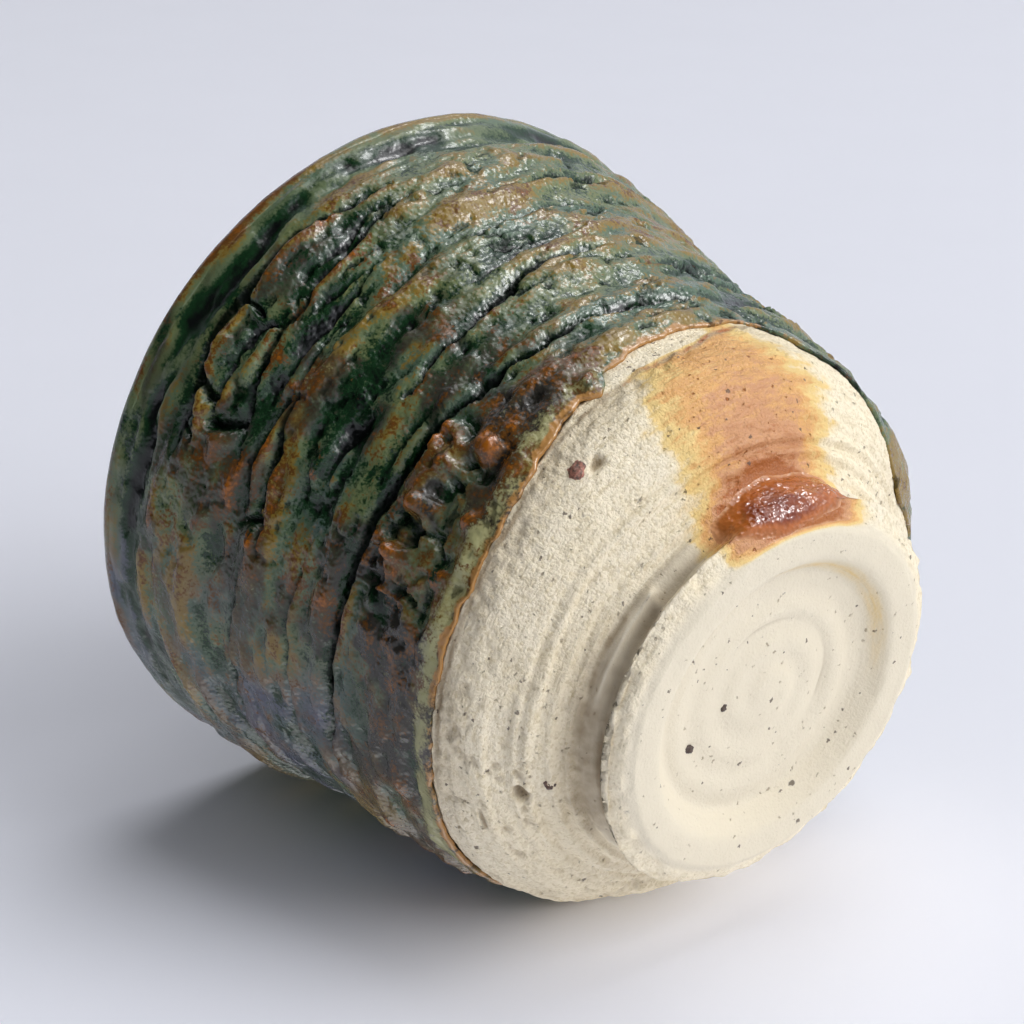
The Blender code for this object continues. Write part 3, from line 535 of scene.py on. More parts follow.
def clay_relief(bearing, radius, height):
    """Rise of the clay's surface and its masks at each bearing, radius and height.

    The rise is a sum of bell curves, smooth steps and noise for each mark that the comments name. The masks
    are the fire flash, torn clay, painted shade in hollows and pits with a stain in the recess, scorched
    beads with painted shadow along the step, and how calm the smoothed foot is.
    """
    place = turned(bearing, radius, height)
    drawn = squeezed(place, 3.0)
    arc = np.radians(bearing) * BELLY_ARC
    along = np.stack([height, arc, 0 * height], -1)
    outside = smooth(3.4, 4.8, height)
    below = along_line(TRIM_STEP, bearing) + 0.16 * noise(place, 1.6, 3) - height
    front = between(bearing, -75, -35, 60, 72)
    left = 1 - smooth(-42, -22, bearing)
    glassed = bell(bearing, SMOOTHED_MIDDLE, SMOOTHED_HALF, 4)
    rough = layered_noise(place, 0.7, 2, 21)

    # The trimming step and the clay torn below it.
    rise = 0.1 * front * smooth(-0.14, 0.08, -below) * outside
    torn = (1 - smooth(0.6, 3.2, below)) * (below > -0.1) * (0.4 + 0.6 * front) * outside
    torn = torn * np.clip(0.75 + 0.9 * layered_noise(place, 4.5, 2, 5), 0.1, 1.3)
    lumpy = 0.14 * layered_noise(place, 0.7, 3, 9) + 0.1 * smooth(0, 0.4, seam_gap(place, 0.95, 7)) - 0.08
    rise = rise + torn * lumpy

    # Turning rings, strongest on the left of the belly, and the belly's uneven grain.
    rings = noise(along * np.array([1, 0.012, 0]), 0.75, 13)
    rings = rings + 0.7 * noise(along * np.array([1, 0.02, 0]), 0.38, 17)
    tooled = outside * smooth(0.0, 1.0, below) * (0.06 + 0.3 * left * bell(height, 7.6, 2.6, 4))
    rise = rise + tooled * rings * (1 - 0.5 * np.clip(torn, 0, 1))
    rise = rise + outside * (0.12 * layered_noise(drawn, 6, 2, 19) + 0.05 * rough)

    # The sunken waist with a ridge, a knot and turning lines.
    side = smooth(14.2, 15.0, radius) * (1 - smooth(4.4, 5.6, height))
    hollowed = bell(height, 2.75, 0.75) * side * (0.8 + 0.3 * noise(place, 4, 22))
    ridge = bell(height - 0.15 * noise(place, 3, 23), 3.5, 0.22) * between(bearing, -34, -18, 3, 6) * side
    knot = bell(arc * 0.66, 0.9, 0.7) * bell(height, 3.2, 0.7) * side
    rise = rise - 0.65 * hollowed * (1 - 0.7 * glassed) + ridge * (0.5 + 0.15 * noise(place, 1.2, 27))
    rise = rise + knot * (0.55 + 0.35 * noise(place, 0.7, 29))
    rise = rise + side * 0.09 * layered_noise(drawn, 2.2, 3, 25)
    for z, half, deep, seed in WAIST_LINES:
        line = bell(height - 0.22 * noise(place, 9, seed), z, half) * (radius > 14.5)
        strength = np.clip(0.7 + 0.7 * noise(squeezed(place, 0.2), 7, seed + 1), 0.15, 1.2)
        rise = rise + deep * line * strength * (1 - 0.8 * glassed * (1 - smooth(4.6, 5.6, height)))

    # The foot: a rough chamfer worn in on the left, an uneven face, and the recess's spiral, cut and stained
    # wall.
    chamfer = bell(height, 1.0, 0.8) * smooth(14.6, 15.4, radius)
    rise = rise + chamfer * (1 - glassed) * (0.2 * layered_noise(squeezed(place, 2.0), 1.3, 3, 31) - 0.05)
    worn = bell(bearing, -38, 30) * bell(height, 1.5, 0.8) * smooth(15.0, 16.2, radius)
    rise = rise - 0.7 * worn - 0.2 * glassed * bell(height, 1.3, 0.5) * (radius > 15.5)
    face = (1 - smooth(0.1, 0.4, height)) * between(radius, 11.8, 12.4, 14.0, 14.5)
    rise = rise + face * 0.05 * layered_noise(place, 2.6, 2, 33)
    recess = (1 - smooth(10.0, 11.6, radius)) * (height < 3)
    spiral = 0.1 * np.sin(2 * np.pi * (radius / 2.9 - bearing / 360)) + 0.08 * noise(place, 2.5, 35)
    cut_radius = 5.6 + 0.9 * smooth(-180, 180, bearing)
    cut = bell(radius, cut_radius, 0.16) * recess * between(bearing, -20, 40, 150, 179)
    rise = rise + recess * smooth(0.6, 2.2, radius) * spiral - 0.2 * cut + 0.02 * rough * (1 - outside)
    # The recess's right wall: a real warm stain, and painted shade on that wall.
    recess_stain_and_shade = bell(radius, 11.2, 0.6) * (height < 1.7) * between(bearing, 20, 60, 120, 170)

    # Pits and gouges in the belly, and painted shade: in them, the recess's cut, the waist and under the
    # step.
    pits = smooth(0.3, 0.8, layered_noise(place, 1.1, 3, 37)) * outside * smooth(0.0, 0.8, below)
    pits = pits * (0.35 + 0.65 * left) * smooth(5.6, 6.8, height)
    rise = rise - 0.28 * pits
    # Painted shade: a broad band over the waist on the left, and a line along the groove at 4 mm in front.
    shaded = 0.8 * bell(height, 3.9, 1.4) * between(bearing, -95, -60, -30, 12)
    groove_shade = bell(height - 0.2 * noise(place, 5, 24), 4.0, 0.34) * between(bearing, -45, -25, 14, 28)
    shaded = np.maximum(shaded, groove_shade) * (radius > 15)
    # The waist's painted shade, left off the ridge and the glass, and lighter towards the right.
    sunk = np.maximum(1.1 * hollowed * (1 - glassed), (0.95 + 0.1 * rough) * shaded) * (1 - 0.8 * ridge)
    sunk = sunk * (1 - 0.4 * smooth(-15, 8, bearing)) * (0.92 + 0.1 * rough)
    # Painted shade in the cut, the waist, the pits and the gouges, with the recess wall's stain and its
    # shade.
    hollow = np.clip(0.4 * cut + sunk + 0.4 * pits + 0.25 * recess_stain_and_shade, 0, 1)
    for *spot, deep in CLAY_GOUGES:
        q = from_spot(arc, height, BELLY_ARC, *spot) + 0.45 * layered_noise(place, 1.1, 2, 39)
        gouge = (1 - smooth(0.2, 1.1, q)) * outside
        rise = rise - deep * gouge
        hollow = np.maximum(hollow, 0.8 * gouge)
    # Painted shadow in a thin line under the trimming step.
    step_shadow = bell(below, 0.1, 0.24) * front * outside
    hollow = np.maximum(hollow, step_shadow * (0.8 + 0.5 * noise(place, 1.5, 41)))

    # The fire's marks, held off the strip above the step.
    streaks = noise(along * np.array([1, 0.05, 0]), 0.5, 45)
    ragged = 0.16 * layered_noise(drawn, 4.5, 3, 43) + 0.06 * rough + 0.05 * streaks
    flash = fire_flash(bearing, radius, height, ragged) + 0.14 * recess_stain_and_shade
    above_step = smooth(0.0, 0.3, -below) * (1 - smooth(53, 57, bearing))
    # Scorched beads along the step in the flash, with painted shadow under the step.
    burn = bell(below, 0.05, 0.17) * between(bearing, 20, 30, 58, 68) * outside
    burn = burn * np.clip(0.6 + 0.9 * layered_noise(place, 1.0, 2, 47), 0, 1)
    return rise, {"flash": flash * (1 - 0.92 * above_step), "torn": np.clip(torn, 0, 1), "hollow": hollow,
                  "burn": burn, "calm": (1 - outside) * (1 - 0.9 * chamfer)}


def clay_surface(size, path, bearing, run, lift=0.0):
    """Points of the clay at a bearing and a run along its outline, raised by relief and lift, with masks."""
    radius, height, out_r, out_z = (np.interp(run, path[0], line) for line in path[1:])
    hidden = smooth(-0.1, 0.9, height - along_line(GLAZE_LINE, bearing))
    rise, masks = clay_relief(bearing, radius, height)
    rise = rise * (1 - hidden) - 1.1 * hidden * (radius > size["waist_diameter"] / 2 + 4) + lift
    return turned(bearing, np.maximum(radius + out_r * rise, 0), height + out_z * rise), masks


def add_node(tree, kind, inputs=None, **settings):
    """Adds a shader node with settings and gives its outputs; an input is a value or an output to link."""
    node = tree.nodes.new("ShaderNode" + kind)
    for key, value in settings.items():
        setattr(node, key, value)
    for key, value in (inputs or {}).items():
        if isinstance(value, bpy.types.NodeSocket):
            tree.links.new(value, node.inputs[key])
        else:
            node.inputs[key].default_value = value
    return node.outputs


def new_material(name):
    """A node material without nodes, and add_node for its tree."""
    material = bpy.data.materials.new(name)
    material.use_nodes = True
    material.node_tree.nodes.clear()
    return material, partial(add_node, material.node_tree)


def read_masks(add, *keys):
    """Outputs of the piece's own attributes, by name."""
    return {key: add("Attribute", attribute_name=key)["Fac"] for key in keys}


def laid_over(add, tone, layers):
    """Tones laid over the first; a layer is its mask, the mask's values for none and all, and its tone."""
    for mask, none, whole, over in layers:
        share = add("MapRange", {0: mask, 1: none, 2: whole}, interpolation_type="SMOOTHSTEP")[0]
        tone = add("Mix", {0: share, 6: tone, 7: (*over, 1)}, data_type="RGBA")[2]
    return tone


def buff_stoneware(colours):
    """Unglazed buff stoneware, turned and torn: matte and gritty, freckled with iron, flashed by the fire."""
    material, add = new_material("buff_stoneware_turned")
    place = add("TexCoord")["Object"]
    masks = read_masks(add, "flash", "torn", "hollow", "burn", "calm")
    lively = add("MapRange", {0: masks["calm"], 3: 1.0, 4: 0.4})[0]
    # Clouds of 5 mm, then grain of 0.28 mm.
    clouds = add("TexNoise", {"Vector": place, "Scale": 1 / 0.005, "Detail": 4.0})["Fac"]
    grain = add("TexNoise", {"Vector": place, "Scale": 1 / 0.00028, "Detail": 3.0, "Roughness": 0.65})["Fac"]
    uneven = add("Math", {0: grain, 1: 0.5}, operation="SUBTRACT")[0]
    uneven = add("Math", {0: uneven, 1: lively}, operation="MULTIPLY")[0]
    # Sand grains of 0.22 mm, each with a tone of its own.
    sand = add("TexVoronoi", {"Vector": place, "Scale": 1 / 0.00022})
    tones = add("SeparateColor", {0: sand["Color"]})[0]
    tones = add("Math", {0: tones, 1: lively}, operation="MULTIPLY")[0]
    # Iron specks 0.9, 2.2 and 6 mm apart, up to about 1 mm wide, flattened by turning and frayed over 0.3 mm.
    flat = add("Mapping", {"Vector": place, "Scale": (1, 1, 1.5)})["Vector"]
    wobble = add("TexNoise", {"Vector": place, "Scale": 1 / 0.0003, "Detail": 3.0})["Color"]
    frayed = add("VectorMath", {0: wobble, 1: (0.0006, 0.0006, 0.0006), 2: flat}, operation="MULTIPLY_ADD")[0]
    speck = 0.0
    for apart, chance, widest in ((0.0009, 0.72, 0.26), (0.0022, 0.7, 0.16), (0.006, 0.65, 0.09)):
        dots = add("TexVoronoi", {"Vector": frayed, "Scale": 1 / apart})
        pick = add("SeparateColor", {0: dots["Color"]})[0]
        width = add("MapRange", {0: pick, 1: chance, 2: 1.0, 3: 0.0, 4: widest})[0]
        edge = add("Math", {0: width, 1: dots["Distance"]}, operation="SUBTRACT")[0]
        dot = add("MapRange", {0: edge, 1: 0.0, 2: 0.06, 3: 0.0, 4: 0.7})[0]
        speck = add("Math", {0: speck, 1: dot}, operation="MAXIMUM")[0]
    # Pinholes 0.6 mm apart and up to 0.2 mm from the middle, where sand came out, in two cells of five.
    holes = add("TexVoronoi", {"Vector": frayed, "Scale": 1 / 0.0006})
    pick = add("SeparateColor", {0: holes["Color"]})[1]
    width = add("MapRange", {0: pick, 1: 0.6, 2: 1.0, 3: 0.0, 4: 0.34})[0]
    pinhole_and_shade = add("Math", {0: width, 1: holes["Distance"]}, operation="SUBTRACT")[0]
    pinhole_and_shade = add("MapRange", {0: pinhole_and_shade, 1: 0.0, 2: 0.15})[0]
    # Pinholes are darkened with painted shade, which in the flash takes the scorch's colour.
    scorched_hole_shade = add("Math", {0: pinhole_and_shade, 1: masks["flash"]}, operation="MULTIPLY")[0]
    # Drag lines of the turning tool, 0.25 mm apart up the wall and 2 mm long round it, also streak the flash.
    lines = add("Mapping", {"Vector": place, "Scale": (500, 500, 4000)})["Vector"]
    drag = add("TexNoise", {"Vector": lines, "Scale": 1.0, "Detail": 3.0})["Fac"]
    streak = add("Math", {0: drag, 1: 0.5}, operation="SUBTRACT")[0]
    streak = add("Math", {0: uneven, 1: 0.6, 2: streak}, operation="MULTIPLY_ADD")[0]
    inside = add("MapRange", {0: masks["flash"], 1: 0.0, 2: 0.4})[0]
    streak = add("Math", {0: streak, 1: inside}, operation="MULTIPLY")[0]
    flash = add("Math", {0: streak, 1: 0.7, 2: masks["flash"]}, operation="MULTIPLY_ADD")[0]
    base = add("Mix", {0: clouds, 6: (*colours.clay, 1), 7: (*colours.clay_pale, 1)}, data_type="RGBA")[2]
    tone = laid_over(add, base, (
        (tones, 0.45, 1.3, colours.clay_worn), (uneven, -0.04, -0.4, colours.clay_worn),
        (drag, 0.5, 0.1, colours.clay_worn), (masks["calm"], 0.0, 1.2, colours.clay_slip),
        (masks["torn"], 0.0, 3.0, colours.clay_tear_and_shade), (pinhole_and_shade, 0.0, 1.7, colours.clay_tear_and_shade),
        (flash, 0.02, 0.26, colours.flash_yellow), (flash, 0.26, 0.6, colours.flash_orange),
        (flash, 0.6, 0.9, colours.flash_brown), (flash, 0.9, 1.3, colours.flash_scorch_and_shade),
        (masks["hollow"], 0.0, 1.1, colours.clay_tear_and_shade), (masks["burn"], 0.1, 1.0, colours.flash_scorch_and_shade),
        (scorched_hole_shade, 0.0, 0.8, colours.flash_scorch_and_shade), (speck, 0.0, 1.0, colours.grit)))
    shine = add("MapRange", {0: masks["flash"], 1: 0.2, 2: 0.65, 3: 0.85, 4: 0.2})[0]
    coarse = grain
    for part, share in ((drag, 0.8), (sand["Distance"], -0.3), (pinhole_and_shade, -0.9)):
        coarse = add("Math", {0: part, 1: share, 2: coarse}, operation="MULTIPLY_ADD")[0]
    coarse = add("Math", {0: coarse, 1: lively}, operation="MULTIPLY")[0]
    bump = add("Bump", {"Height": coarse, "Strength": 1.0, "Distance": 0.00017})[0]
    surface = add("BsdfPrincipled", {
        "Base Color": tone, "Roughness": shine, "IOR": 1.5, "Specular IOR Level": 0.25, "Normal": bump})[0]
    add("OutputMaterial", {0: surface})
    return material


def copper_green_glaze(colours, name):
    """Thick copper-green ash glaze: rust where thin on ridges, olive, teal, then black in grooves; wet."""
    material, add = new_material(name)
    place = add("TexCoord")["Object"]
    masks = read_masks(add, "thick", "rust", "haze", "edge", "teal", "dark", "pale", "umber", "calm")
    # Mottling of 1.1 mm, specks of 0.26 mm and pebbles of 0.4 mm: the glaze's clouds, spots and grains.
    mottle = add("TexNoise", {"Vector": place, "Scale": 1 / 0.0011, "Detail": 3.0})["Fac"]
    specks = add("TexNoise", {"Vector": place, "Scale": 1 / 0.00026, "Detail": 2.0, "Roughness": 0.6})["Fac"]
    pebbles = add("TexVoronoi", {"Vector": place, "Scale": 1 / 0.0004, "Smoothness": 0.8},
                  feature="SMOOTH_F1")
    lively = add("MapRange", {0: masks["calm"], 3: 1.0, 4: 0.5})[0]
    uneven = add("Math", {0: mottle, 1: specks}, operation="ADD")[0]
    uneven = add("Math", {0: uneven, 1: 1.0}, operation="SUBTRACT")[0]
    uneven = add("Math", {0: uneven, 1: lively}, operation="MULTIPLY")[0]
    for key, share in (("thick", 1.0), ("rust", -1.5), ("edge", 0.9), ("pale", 1.3), ("umber", -0.7),
                       ("dark", 0.4)):
        masks[key] = add("Math", {0: uneven, 1: share, 2: masks[key]}, operation="MULTIPLY_ADD")[0]
    green = add("Mix", {0: masks["teal"], 6: (*colours.glaze_sage, 1), 7: (*colours.glaze_teal, 1)},
                data_type="RGBA")[2]
    tone = laid_over(add, green, (
        (masks["thick"], 0.55, 0.2, colours.glaze_ochre), (masks["haze"], 0.0, 1.2, colours.glaze_haze_and_sheen),
        (masks["umber"], 0.1, 1.3, colours.glaze_umber), (masks["pale"], 0.2, 0.9, colours.glaze_pale),
        (masks["rust"], 0.24, 0.6, colours.glaze_rust), (masks["rust"], 0.6, 1.1, colours.glaze_orange),
        (masks["thick"], 0.55, 0.9, colours.glaze_bottle), (masks["thick"], 0.95, 1.35, colours.glaze_black),
        (masks["edge"], 0.25, 0.75, colours.glaze_edge)))
    grains = add("Math", {0: pebbles["Distance"], 1: -1.0, 2: mottle}, operation="MULTIPLY_ADD")[0]
    grains = add("Math", {0: grains, 1: lively}, operation="MULTIPLY")[0]
    bump = add("Bump", {"Height": grains, "Strength": 0.8, "Distance": 0.0001})[0]
    gloss = add("BsdfPrincipled", {"Base Color": tone, "Roughness": 0.27, "IOR": 1.52, "Normal": bump})[0]
    # Grooves and pits hold glaze pooled deep and dark, and making it matte black there is painted shade that
    # hides the reflections their walls would block.
    pit = add("BsdfDiffuse", {"Color": (*colours.glaze_black, 1)})[0]
    deep = add("MapRange", {0: masks["dark"], 1: 0.35, 2: 0.95, 4: 0.9}, interpolation_type="SMOOTHSTEP")[0]
    surface = add("MixShader", {0: deep, 1: gloss, 2: pit})[0]
    add("OutputMaterial", {0: surface})
    return material


def fused_flash_glass(colours):
    """Glass fused from wood ash on iron clay: wet red-brown gloss, amber where it thins out, crazed."""
    material, add = new_material("ash_glass_fused")
    place = add("TexCoord")["Object"]
    depth = read_masks(add, "depth")["depth"]
    blotch = add("TexNoise", {"Vector": place, "Scale": 1 / 0.0012, "Detail": 3.0})["Fac"]
    deep = add("Math", {0: blotch, 1: 0.5, 2: depth}, operation="MULTIPLY_ADD")[0]
    tone = laid_over(add, (*colours.flash_brown, 1), (
        (deep, 0.25, 0.6, colours.flash_scorch_and_shade), (deep, 0.6, 0.95, colours.glass_amber),
        (deep, 0.9, 1.35, colours.glass)))
    # Crazing in plates of 0.38 mm gives the broken wet highlights.
    plates = add("TexVoronoi", {"Vector": place, "Scale": 1 / 0.00038, "Smoothness": 0.4},
                 feature="SMOOTH_F1")
    bump = add("Bump", {"Height": plates["Distance"], "Strength": 0.8, "Distance": 0.00012})[0]
    surface = add("BsdfPrincipled", {"Base Color": tone, "Roughness": 0.06, "IOR": 1.52, "Normal": bump})[0]
    add("OutputMaterial", {0: surface})
    return material


def iron_stone(colours):
    """Iron-bearing stone scorched in the clay: rough, dark red-brown with paler broken faces."""
    material, add = new_material("iron_stone_scorched")
    place = add("TexCoord")["Object"]
    # Grain of 0.4 mm.
    grain = add("TexNoise", {"Vector": place, "Scale": 1 / 0.0004, "Detail": 4.0, "Roughness": 0.65})["Fac"]
    share = add("MapRange", {0: grain, 1: 0.38, 2: 0.56})[0]
    share = add("Math", {0: share, 1: read_masks(add, "red")["red"]}, operation="MULTIPLY")[0]
    tone = add("Mix", {0: share, 6: (*colours.grit, 1), 7: (*colours.stone, 1)}, data_type="RGBA")[2]
    bump = add("Bump", {"Height": grain, "Strength": 0.6, "Distance": 0.0001})[0]
    surface = add("BsdfPrincipled", {"Base Color": tone, "Roughness": 0.6, "IOR": 1.54, "Normal": bump})[0]
    add("OutputMaterial", {0: surface})
    return material


def paper_floor(colours):
    """Pale matte paper that fades into the backdrop far off, and is clear to the camera from behind."""
    material, add = new_material("paper_matte")
    place = add("TexCoord")["Object"]
    # Clouds of 20 mm, two parts in a hundred darker.
    fibre = add("TexNoise", {"Vector": place, "Scale": 1 / 0.02, "Detail": 3.0})["Fac"]
    tint = add("MapRange", {0: fibre, 3: 0.98, 4: 1.0})[0]
    tone = add("VectorMath", {0: colours.floor, 3: tint}, operation="SCALE")[0]
    paper = add("BsdfDiffuse", {"Color": tone})[0]
    clear = add("BsdfTransparent")[0]
    far = add("VectorMath", {0: place}, operation="LENGTH")["Value"]
    fade = add("MapRange", {0: far, 1: 0.7, 2: 1.8}, interpolation_type="SMOOTHSTEP")[0]
    hide = add("Math", {0: add("NewGeometry")["Backfacing"], 1: fade}, operation="MAXIMUM")[0]
    hide = add("Math", {0: hide, 1: add("LightPath")["Is Camera Ray"]}, operation="MULTIPLY")[0]
    add("OutputMaterial", {0: add("MixShader", {0: hide, 1: paper, 2: clear})[0]})
    return material


def nearest_run(line, arc, height):
    """Distance from each point to a run of (bearing, height, half width) points, over the half width there.

    It is above zero on the left of the run, which is the lip's side of a run along the bearing, else below.
    """
    points = np.array(line, float)
    points[:, 0] = np.radians(points[:, 0]) * WALL_ARC
    nearest = np.full(arc.shape, 9.0)
    for start, end in zip(points[:-1], points[1:]):
        way = end[:2] - start[:2]
        across, up = arc - start[0], height - start[1]
        share = np.clip((across * way[0] + up * way[1]) / (way @ way), 0, 1)
        half = start[2] + share * (end[2] - start[2])
        distance = np.hypot(across - share * way[0], up - share * way[1]) / half
        side = np.sign(up * way[0] - across * way[1])
        nearest = np.where(distance < np.abs(nearest), distance * side, nearest)
    return nearest


def back_grooves():
    """Grooves for the side away from the camera, by a seeded draw: long, thin and leaning."""
    draw = np.random.default_rng(BACK_SEED)
    shares = np.array([0, 0.3, 0.7, 1.0])
    grooves = []
    for ring, start in itertools.product(BACK_HEIGHTS, BACK_STARTS):
        begin = start + draw.uniform(-15, 15)
        reach, lean, half = draw.uniform(25, 60), draw.uniform(-1.6, 1.6), draw.uniform(0.18, 0.46)
        heights = ring + draw.uniform(-0.9, 0.9) + lean * shares + draw.uniform(-0.3, 0.3, 4)
        widths = half * np.array([0.4, 1, 0.9, 0.35])
        grooves.append((draw.uniform(0.5, 1.2), tuple(zip(begin + reach * shares, heights, widths))))
    return grooves


def glaze_relief(bearing, height):
    """Rise of the carved, glazed wall and its masks at each bearing and height.

    The rise is soft ridges drawn along the bearing, a pebbly crust, torn pits, lumps, and grooves that fall
    as a bell curve of the distance, steep on the foot's side and gentle on the lip's. The masks are how thick
    and rusty the glaze is, its blue-grey cast, opalescent and on the shaded side also painted cool sheen, its
    teal, how dark its grooves are, its umber clouds and how calm it is.
    """
    place = turned(bearing, WALL_ARC, height)
    arc = np.radians(bearing) * WALL_ARC + 0.42 * noise(place, 2.2, 101)
    high = height + 0.28 * noise(place, 2.0, 103) + 0.07 * noise(place, 0.8, 104)
    ridges = layered_noise(squeezed(place, 4.2), 9, 2, 105)
    strands = layered_noise(squeezed(place, 3.2), 3.6, 2, 106)
    crust = layered_noise(squeezed(place, 1.4), 1.7, 2, 107)
    rise = 0.38 * ridges + 0.22 * strands + 0.11 * crust

    # Carved grooves, dark in their beds, with raised lips on the foot's side.
    dark, halo, lips, pool, rim, knots = np.zeros((6, *bearing.shape))
    turned_arc = np.where(arc < np.radians(60) * WALL_ARC, arc + 2 * np.pi * WALL_ARC, arc)
    for grooves, along in ((CARVED_GROOVES, arc), (back_grooves(), turned_arc)):
        for deep, line in grooves:
            q = nearest_run(line, along, high)
            rise = rise - 0.85 * deep * np.exp(-np.where(q > 0, 0.5, 1.5) * q ** 2)
            from_bed = np.abs(q - 0.15) * np.where(q > 0.15, 0.9, 1.2)
            dark = np.maximum(dark, (1 - smooth(0.35, 1.5, from_bed)) * min(1.0, 0.4 + 0.6 * deep))
            halo = np.maximum(halo, bell(q, 0.4, 1.9) * min(1.0, 0.3 + 0.7 * deep))
            lips = np.maximum(lips, bell(q, -2.0, 0.8) * min(1.0, deep))
    rise = rise + 0.25 * lips

    # Torn stretches low in front, under the lip and in places behind, and small pits except on the left.
    torn = bell(arc, -4.5, 9.0, 6) * bell(high, 18.4, 2.8, 6)
    cells = bell(arc, 2.4, 11, 6) * bell(high, 41.4, 2.1, 6)
    back = np.clip(layered_noise(squeezed(place, 2.0), 14, 2, 109) - 0.25, 0, 1)
    broken = np.clip(torn + 0.4 * cells + 1.3 * back * smooth(95, 120, np.abs(bearing - 10)), 0, 1)
    bent = squeezed(place, 0.85) + 0.6 * noise(place, 1.4, 111)[..., None]
    tear = layered_noise(bent, 2.5, 3, 113)
    pit = smooth(0.0, 0.42, tear)
    pricks = smooth(0.4, 0.68, layered_noise(squeezed(place, 1.8), 1.5, 3, 125))
    pricks = pricks * (1 - smooth(41, 44, height)) * smooth(-55, -25, bearing)
    rise = rise + broken * (0.32 - 0.95 * pit) - 0.25 * pricks
    dark = np.maximum(np.maximum(dark, 0.8 * broken * smooth(0.16, 0.5, tear)), 0.7 * pricks)

    # Pools of thick glaze with a hazy rim, and lumps with iron on them.
    for *spot, amount in GLAZE_POOLS:
        q = from_spot(arc, high, WALL_ARC, *spot) + 0.3 * crust
        pool = np.maximum(pool, amount * (1 - smooth(0.4, 1.25, q)))
        rim = np.maximum(rim, amount * bell(q, 1.35, 0.25))
    rise = rise - 0.35 * pool
    for *spot, up, rusty in GLAZE_LUMPS:
        q = from_spot(arc, high, WALL_ARC, *spot) + 0.2 * crust
        rise = rise + up * (1 - smooth(0.3, 1.2, q))
        knots = np.maximum(knots, rusty * (1 - smooth(0.4, 1.1, q)))

    # How thick and how rusty the glaze is: thin on crests, thick in hollows and in the neck under the lip.
    veil = layered_noise(squeezed(place, 2.0), 4.5, 2, 115)
    spots = layered_noise(squeezed(place, 2.2), 3.0, 3, 117)
    neck = bell(height - 0.8 * between(bearing, 5, 25, 60, 90) - 0.4 * veil, 45.6, 1.2)
    lip = smooth(47.3, 48.6, height)
    middle = between(bearing, -75, -35, 14, 40) + smooth(110, 140, np.abs(bearing))
    shaded = 1 - smooth(-58, -18, bearing)
    low = (1 - smooth(19, 25, height)) * between(bearing, -120, -90, 10, 40)
    crest = 0.26 * ridges + 0.22 * strands + 0.1 * crust + 0.3 * lips + 0.25 * broken * (0.5 - pit)
    thick = 0.47 - 0.16 * veil - 1.25 * crest + 0.58 * neck - 0.22 * lip - 0.1 * spots - 0.24 * low
    thick = thick + 0.42 * halo + 0.3 * dark + 0.55 * pool - 0.2 * broken * (1 - pit)
    rust = 0.04 + 0.1 * middle + 0.28 * spots + 0.6 * crest + 0.25 * veil + 0.5 * knots + 0.2 * low
    rust = rust - 0.6 * pool - 0.4 * dark - 0.2 * halo + 0.3 * lip - 0.8 * neck + 0.12 * broken * (1 - pit)
    # Less rust on the shaded side, as part of its painted cool sheen, and less on the right.
    rust = rust - 0.12 * shaded - 0.12 * between(bearing, 25, 50, 110, 130)

    # Blue-grey cast, on the shaded side opalescence with painted cool sheen, also in the neck on the left and
    # round the pools; clouds of teal and umber.
    haze = shaded * np.clip(0.45 + 0.5 * layered_noise(place, 6, 2, 119), 0, 1)
    band = bell(height, 46, 1.0) * between(bearing, -85, -62, -40, -28)
    # More teal on the shaded side: painted cool sheen.
    teal = np.clip(0.4 + 0.7 * layered_noise(squeezed(place, 2.0), 6, 2, 121) + 0.3 * shaded, 0, 1)
    umber = smooth(-0.3, 0.5, layered_noise(squeezed(bent, 2.0), 5.0, 3, 123)) * (0.2 + 0.8 * middle)
    return rise, {"thick": thick, "rust": rust, "haze": np.maximum(np.maximum(haze, 0.9 * band), 0.45 * rim),
                  "teal": teal * (1 - 0.6 * neck), "dark": np.maximum(dark, 0.6 * pool),
                  "umber": (umber + 0.65 * low) * (1 - neck),
                  "calm": np.maximum(neck, smooth(43.0, 45.5, height))}


class SAKECUP_OT_clay_body(bpy.types.Operator):
    """Makes the thrown clay with its turned foot, torn belly and fire flash"""

    bl_idname = "sake_cup.clay_body"
    bl_label = "Clay body"

    def execute(self, context):
        size = in_mm()
        path = clay_path(size)
        run, radius, height = path[:3]
        shown = run[np.argmax((height > size["hip_height"] + 4.2) & (radius > 20))]
        close = np.where(radius < 14.2, 0.9, np.where(height < 5.5, 2.0, 1.7))
        share = np.cumsum(np.where(run > shown, 0.12, close))
        rows = np.interp(np.linspace(0.002, 0.998, CLAY_ROWS), share / share[-1], run)
        along, bearing = np.meshgrid(rows, bearings(CLAY_COLUMNS), indexing="ij")
        points, masks = clay_surface(size, path, bearing, along)
        piece = put_surface("thrown_clay_body", points, masks)
        dress(piece, buff_stoneware(context.scene.cup_colours), "stoneware_body")
        return {"FINISHED"}


